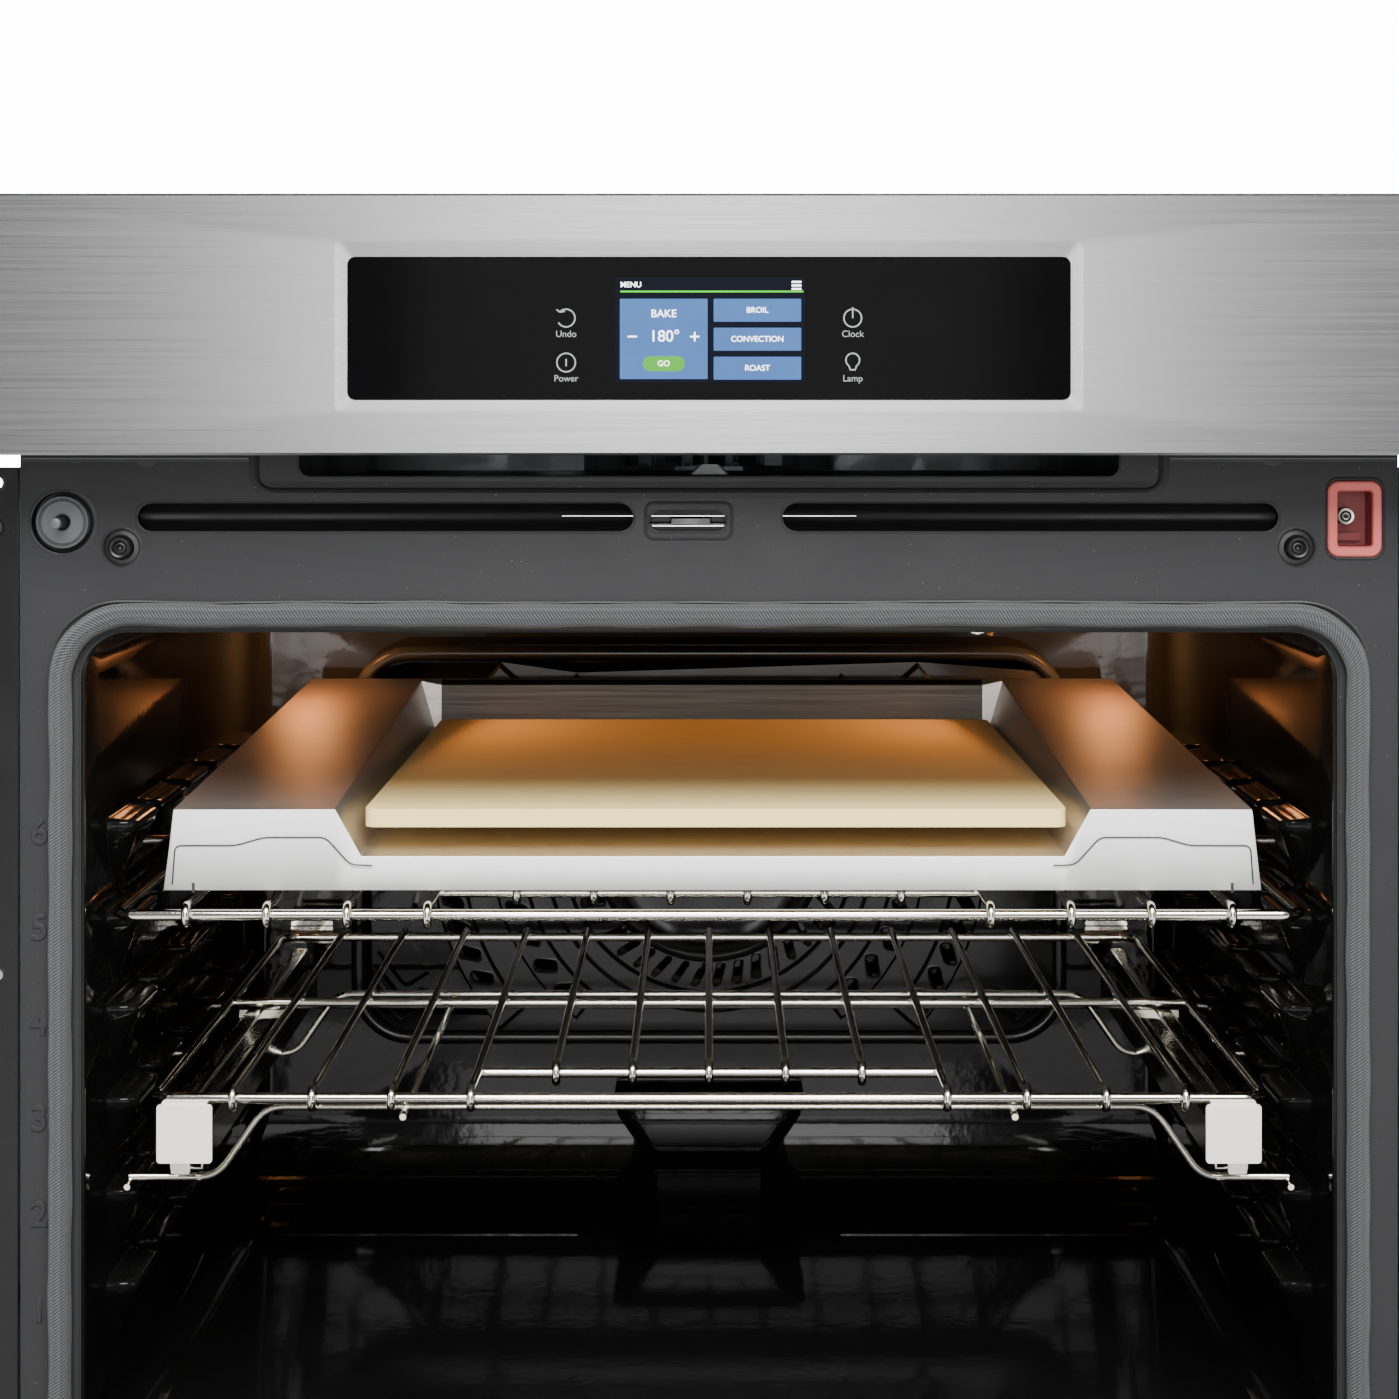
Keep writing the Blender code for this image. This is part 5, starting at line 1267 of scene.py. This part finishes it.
def build_casing_details():
    """Screws, ribs and louvres on the zinc casing, and what hangs on its back."""
    back = high("rear_panel").y

    def screws(shape):
        for side in (-1, 1):
            x = side * (HALF_WIDTH + 0.0001)
            for y in (-0.200, -0.060, 0.080, 0.220):
                for z in (0.020, 0.683):
                    shape.turned([(0, side * 0.0018), (0.0026, side * 0.0016), (0.0040, side * 0.0006),
                                  (0.0042, 0), (0, 0)], (x, y, z), "X", 14)
        for x in (-0.320, -0.160, 0.0, 0.160, 0.320):
            for z in (0.030, 0.350, 0.680):
                if x in (-0.320, 0.320) or z != 0.350:
                    screw(shape, x, z, back - FRONT + 0.0001, facing=1)

    def ribs(shape):
        for side in (-1, 1):
            for z in (0.170, 0.350, 0.530):
                path = [(side * (HALF_WIDTH - 0.0014), y, z) for y in (-0.220, -0.210, 0.230, 0.240)]
                shape.tube(path, lambda t: 0.0012 if t in (0.0, 1.0) else 0.0030, 12)
        for z in (0.230, 0.470):
            path = [(x, back - 0.0014, z) for x in (-0.270, -0.260, 0.260, 0.270)]
            shape.tube(path, lambda t: 0.0012 if t in (0.0, 1.0) else 0.0030, 12)

    def louvres(shape):
        for row in range(6):
            z = 0.560 + 0.014 * row
            for x in (-0.180, -0.060, 0.060):
                shape.plate([(back - 0.0006, z), (back + 0.0034, z + 0.0012), (back + 0.0036, z + 0.0030),
                             (back - 0.0006, z + 0.0080)], x - 0.048, x + 0.048, axis="X")

    sheet_details("casing_screws", NICKEL, "oven", screws)
    sheet_details("casing_ribs", ZINC, "oven", ribs)
    sheet_details("rear_louvres", ZINC, "oven", louvres, bevel=0.0004)
    label = Shape("Y")
    label.plate(rounded(0.130, 0.250, 0.400, 0.455, 0.002), back + 0.0001, back + 0.0004)
    label.piece("blank_rating_plate", GREY_PLASTIC, "oven")
    cable = bend_path([(0.250, high("cable_gland").y - 0.004, 0.660),
                       (0.250, high("cable_gland").y + 0.0005, 0.660)],
                      0.001)
    stub = Shape()
    stub.tube(cable, 0.0085, 20)
    stub.piece("cable_end", RUBBER, "oven")


# ---------------------------------------------------------------- door
# Built shut, in the oven's own frame, then turned down about its hinge axis, as the row stores it.
PIVOT = Vector((0, depth(-0.014), 0.020))
DOOR_DOWN = Matrix.Translation(PIVOT) @ Matrix.Rotation(math.radians(90), 4, "X") @ Matrix.Translation(-PIVOT)
HINGE_X, HANDLE_Z, HANDLE_RADIUS = 0.300, 0.535, 0.0125


def door_piece(shape, name, material, *stands_for, **options):
    return shape.piece(name, material, "door", stands_for, turn=DOOR_DOWN, **options)


def notched(x, start, end, notch, reach):
    """An outline in X and depth, straight but for a notch at each hinge."""
    points = [(-x, start)]
    for hinge in (-HINGE_X, HINGE_X):
        points += [(hinge - notch, start), (hinge - notch, reach), (hinge + notch, reach),
                   (hinge + notch, start)]
    return points + [(x, start), (x, end), (-x, end)]


def build_door():
    front, inner, sheet = -0.048, -0.010, 0.0015
    x, z0, z1 = HALF_OVERALL, 0.012, 0.584
    skin = Shape("Y")
    window = rounded(-0.2450, 0.2450, 0.150, 0.440, 0.010, 8)
    dip = rounded(-0.2425, 0.2425, 0.1525, 0.4375, 0.008, 8)
    edge = rounded(-x, x, z0, z1, 0.003, 4)
    soft = rounded(-x + 0.0014, x - 0.0014, z0 + 0.0014, z1 - 0.0014, 0.003, 4)
    rings = [skin.ring(edge, depth(front + 0.0015)), skin.ring(soft, depth(front))]
    skin.loft(rings)
    hole = [skin.ring(window, depth(front)), skin.ring(window, depth(front + 0.0008)),
            skin.ring(dip, depth(front + 0.0017))]
    skin.loft(hole).fill(rings[1], hole[0])
    ends = (depth(front + 0.0012), depth(-0.012))
    for side in (-1, 1):
        skin.block(sorted((side * x, side * (x - sheet))), ends, (z0 + 0.002, z1 - 0.002))
    skin.block((-x + 0.002, x - 0.002), ends, (z1 - sheet, z1))
    skin.plate([(u, depth(v)) for u, v in notched(x - 0.002, -0.012, front + 0.0012, 0.011, -0.027)], z0,
               z0 + sheet,
               axis="Z")
    door_piece(skin, "door_skin", STAINLESS, "door_outer_skin", angle=30)

    pane = Shape("Y")
    pane.plate(rounded(-0.2570, 0.2570, 0.138, 0.452, 0.004), depth(-0.0462), depth(-0.0422))
    door_piece(pane, "door_outer_pane", DOOR_GLASS, "door_outer_glass", bevel=0.0004)
    frit = Shape("Y")
    frit.plate(rounded(-0.2565, 0.2565, 0.1385, 0.4515, 0.004), depth(-0.0421), depth(-0.0419),
               [rounded(-0.2180, 0.2180, 0.1770, 0.4130, 0.012)])
    door_piece(frit, "door_outer_border", FRIT)

    half, bottom, top, notch = HALF_WIDTH - 0.003, 0.016, 0.577, 0.011
    liner = Shape("Y")
    outline = [(-half, bottom)]
    for hinge in (-HINGE_X, HINGE_X):
        outline += [(hinge - notch, bottom), (hinge - notch, 0.060), (hinge + notch, 0.060),
                    (hinge + notch, bottom)]
    outline += [(half, bottom), (half, top), (-half, top)]
    face = depth(inner)
    rim = liner.ring(outline, face)
    liner.loft([rim, liner.ring(outline, face - sheet)])
    latch = rounded(-0.030, 0.011, 0.546, 0.560, 0.003, 5)
    steps_in = [(-0.2420, 0.153, 0.437, 0.0), (-0.2412, 0.1538, 0.4362, -0.0004),
                (-0.2290, 0.1660, 0.4240, -0.0014),
                (-0.2250, 0.1700, 0.4200, -0.0018)]
    window = [liner.ring(rounded(u, -u, low_z, high_z, 0.020, 8), face + w) for u, low_z, high_z,
              w in steps_in]
    slot = [liner.ring(latch, face), liner.ring(latch, face - 0.006)]
    liner.loft(window).loft(slot).fill(rim, window[0], slot[0])
    ahead = (depth(-0.026), depth(inner - 0.0005))
    for side in (-1, 1):
        liner.block(sorted((side * half, side * (half - sheet))), ahead, (0.020, top))
    liner.block((-half, half), ahead, (top - sheet, top))
    door_piece(liner, "door_inner_panel", GREY_ENAMEL, "door_liner", angle=35)
    pane = Shape("Y")
    pane.plate(rounded(-0.245, 0.245, 0.152, 0.438, 0.004), depth(-0.0160), depth(-0.0119))
    door_piece(pane, "door_inner_pane", INNER_GLASS, "door_inner_glass", bevel=0.0004)
    border = Shape("Y")
    border.plate(rounded(-0.2445, 0.2445, 0.1525, 0.4375, 0.004), depth(-0.01645), depth(-0.0162),
                 [rounded(-0.2050, 0.2050, 0.1900, 0.4000, 0.010)])
    door_piece(border, "door_inner_border", FRIT)
    fixings = Shape("Y")
    for px in (-0.3475, -0.115, 0.115, 0.3475):
        for pz in (0.038, 0.528):
            screw(fixings, px, pz, inner - 0.0004, 0.0034, facing=1)
    for side in (-1, 1):
        screw(fixings, side * 0.3475, 0.300, inner - 0.0004, 0.0034, facing=1)
    door_piece(fixings, "door_screws", NICKEL)

    bar_y = depth(front - 0.045)
    bar = Shape("Y")
    r = HANDLE_RADIUS
    profile = [(0, -0.345), (r - 0.0030, -0.345), (r - 0.0010, -0.3444), (r - 0.0002, -0.3432), (r, -0.3415)]
    profile += [(a, -b) for a, b in profile[::-1]]
    bar.turned(profile, (0, bar_y, HANDLE_Z), "X", 48)
    door_piece(bar, "handle_tube", STAINLESS, "handle_bar")
    for side, name in ((-1, "left"), (1, "right")):
        post = Shape("Y")
        at = side * 0.315
        rings = []
        for y, w in ((depth(front - 0.0003), 0.0120), (depth(front - 0.0030), 0.0114),
                     (depth(front - 0.0120), 0.0092),
                     (depth(front - 0.0240), 0.0082), (bar_y + r + 0.0003, 0.0080)):
            rings.append(post.ring(rounded(at - w, at + w, HANDLE_Z - w * 0.8, HANDLE_Z + w * 0.8, w * 0.45,
                                           6), y))
        post.loft(rings, close=True)
        door_piece(post, f"{name}_handle_foot", STAINLESS, f"{name}_handle_post")


# ---------------------------------------------------------------- nodes shown as they are
SHOWN = {
    "base_pan": (ZINC, 0.0004), "left_side_panel": (ZINC, 0.0004), "right_side_panel": (ZINC, 0.0004),
    "rear_panel": (ZINC, 0.0004), "top_cover": (ZINC, 0.0004), "cable_gland": (NICKEL, 0.0006),
    "bottom_trim": (GREY_ENAMEL, 0.0004), "insulation_wrap": (WOOL, 0.0030),
    "convection_element": (HEATER, None),
    "convection_motor": (ZINC, None), "convection_fan": (NICKEL, None), "broil_element": (HEATER, None),
    "bake_element": (HEATER, None), "temperature_sensor": (NICKEL, None), "display_module": (BOARD, 0.0008),
    "control_board": (BOARD, 0.0003), "air_duct": (SHADE_AND_DARK_ENAMEL, 0.0004), "blower_housing": (ZINC, None),
    "blower_wheel": (ZINC, None), "latch_housing": (ZINC, 0.0005), "latch_hook": (DARK_STEEL, 0.0006),
    "left_hinge_receiver": (ZINC, 0.0004), "right_hinge_receiver": (ZINC, 0.0004),
    "left_hinge_pin": (NICKEL, None),
    "right_hinge_pin": (NICKEL, None), "left_hinge_arm": (NICKEL, 0.0003),
    "right_hinge_arm": (NICKEL, 0.0003),
}


def dress_nodes():
    """Gives the CAD nodes that show their finish and a fine rounded edge."""
    for name, (material, bevel) in SHOWN.items():
        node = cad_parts[name]
        node.data.materials.clear()
        node.data.materials.append(material)
        if bevel:
            edge = node.modifiers.new("Edge", "BEVEL")
            edge.width, edge.segments, edge.limit_method = bevel, 2, "ANGLE"
            edge.angle_limit = math.radians(35)


# ---------------------------------------------------------------- stage, light and camera
def stage_surface(name, colour):
    s = Surface(name, colour, 0.75)
    s.tint(s.span(s.noise(0.7), 0.4, 0.7, 0.0, 0.5), tuple(c * 0.97 for c in colour))
    return s.material


def build_stage():
    """A pale floor under the open door, and a plain plinth the oven stands on."""
    pale = stage_surface("studio floor", (0.72, 0.72, 0.72))
    ground = -0.160
    floor = Shape("Z")
    floor.field(steps(-4.5, 4.5, 12), steps(-4.5, 4.5, 12), lambda u, v: ground)
    plinth = Shape("Z")
    plinth.plate(rounded(-0.330, 0.330, -0.270, 0.270, 0.010), ground, -0.0005)
    for shape, name, bevel in ((floor, "studio_floor", None), (plinth, "studio_plinth", 0.004)):
        bmesh.ops.recalc_face_normals(shape.bm, faces=shape.bm.faces)
        mesh = bpy.data.meshes.new(name)
        shape.bm.to_mesh(mesh)
        shape.bm.free()
        mesh.materials.append(pale)
        obj = bpy.data.objects.new(name, mesh)
        bpy.context.scene.collection.objects.link(obj)
        if bevel:
            obj.modifiers.new("Edge", "BEVEL").width = bevel


def area(name, place, target, size, power, colour=(1, 1, 1)):
    light = bpy.data.lights.new(name, "AREA")
    light.shape, light.size, light.size_y = "RECTANGLE", *size
    light.energy, light.color = power, colour
    obj = bpy.data.objects.new(name, light)
    obj.location = place
    obj.rotation_euler = (Vector(target) - Vector(place)).to_track_quat("-Z", "Y").to_euler()
    bpy.context.scene.collection.objects.link(obj)
    return obj


def build_light():
    """Soft boxes above, in front and to both sides, and the two warm lamps inside the cavity."""
    world = bpy.data.worlds.new("studio")
    world.use_nodes = True
    tree = world.node_tree
    back = tree.nodes["Background"]
    back.inputs["Color"].default_value = (0.93, 0.94, 0.96, 1)
    rays = tree.nodes.new("ShaderNodeLightPath")
    level = tree.nodes.new("ShaderNodeMapRange")
    level.inputs["To Min"].default_value = 0.25
    level.inputs["To Max"].default_value = 16.0
    tree.links.new(rays.outputs["Is Camera Ray"], level.inputs["Value"])
    tree.links.new(level.outputs["Result"], back.inputs["Strength"])
    bpy.context.scene.world = world
    middle = (0, FRONT, 0.35)
    area("key_above", (0.2, -2.2, 2.4), middle, (2.4, 1.4), 205)
    area("front_card", (0, -3.4, 1.0), middle, (1.0, 2.0), 44)
    area("left_card", (-2.6, -1.4, 0.9), middle, (1.2, 2.4), 8)
    area("right_card", (2.6, -1.4, 0.9), middle, (1.2, 2.4), 8)
    area("rear_card", (0, 2.6, 1.8), (0, 0, 0.3), (2.6, 1.6), 26)
    for side, name in ((-1, "left"), (1, "right")):
        lamp = bpy.data.lights.new(f"{name}_lamp_glow", "POINT")
        lamp.energy, lamp.color, lamp.shadow_soft_size = 2.3, (1.0, 0.42, 0.15), 0.018
        obj = bpy.data.objects.new(f"{name}_lamp_glow", lamp)
        obj.location = (side * LAMP_X, LAMP_Y, CEILING - 0.042)
        obj.visible_glossy = False
        bpy.context.scene.collection.objects.link(obj)


def build_camera():
    """The photo's camera: level, in front of the oven, with the picture shifted down."""
    lens = bpy.data.cameras.new("camera")
    lens.lens, lens.sensor_width, lens.shift_x, lens.shift_y = 67.0, 36.0, -0.0068, -0.2069
    lens.clip_start, lens.clip_end = 0.05, 40.0
    camera = bpy.data.objects.new("camera", lens)
    camera.location = (0, FRONT - 1.340, 0.6104)
    camera.rotation_euler = (math.radians(90), 0, 0)
    bpy.context.scene.collection.objects.link(camera)
    bpy.context.scene.camera = camera


build_front_frame()
build_frame_pressings()
build_front_fittings()
build_slot_channels()
build_gasket()
build_cavity()
build_fan_cover()
build_lamps()
build_rack("upper_rack", LEVEL_TOPS[4] + 0.0003 + BAR, 0.3110, (0.0220, 0.0860, 0.2600, 0.4375), 14, 6)
build_rack("glide_rack", 0.2457, 0.2950, (0.0400, 0.0935, 0.2635, 0.4620), 13, 5)
build_glide()
build_tray()
build_stone()
build_fascia()
build_screen()
build_trims()
build_casing_details()
build_door()
dress_nodes()
build_stage()
build_light()
build_camera()

bpy.context.view_layer.update()
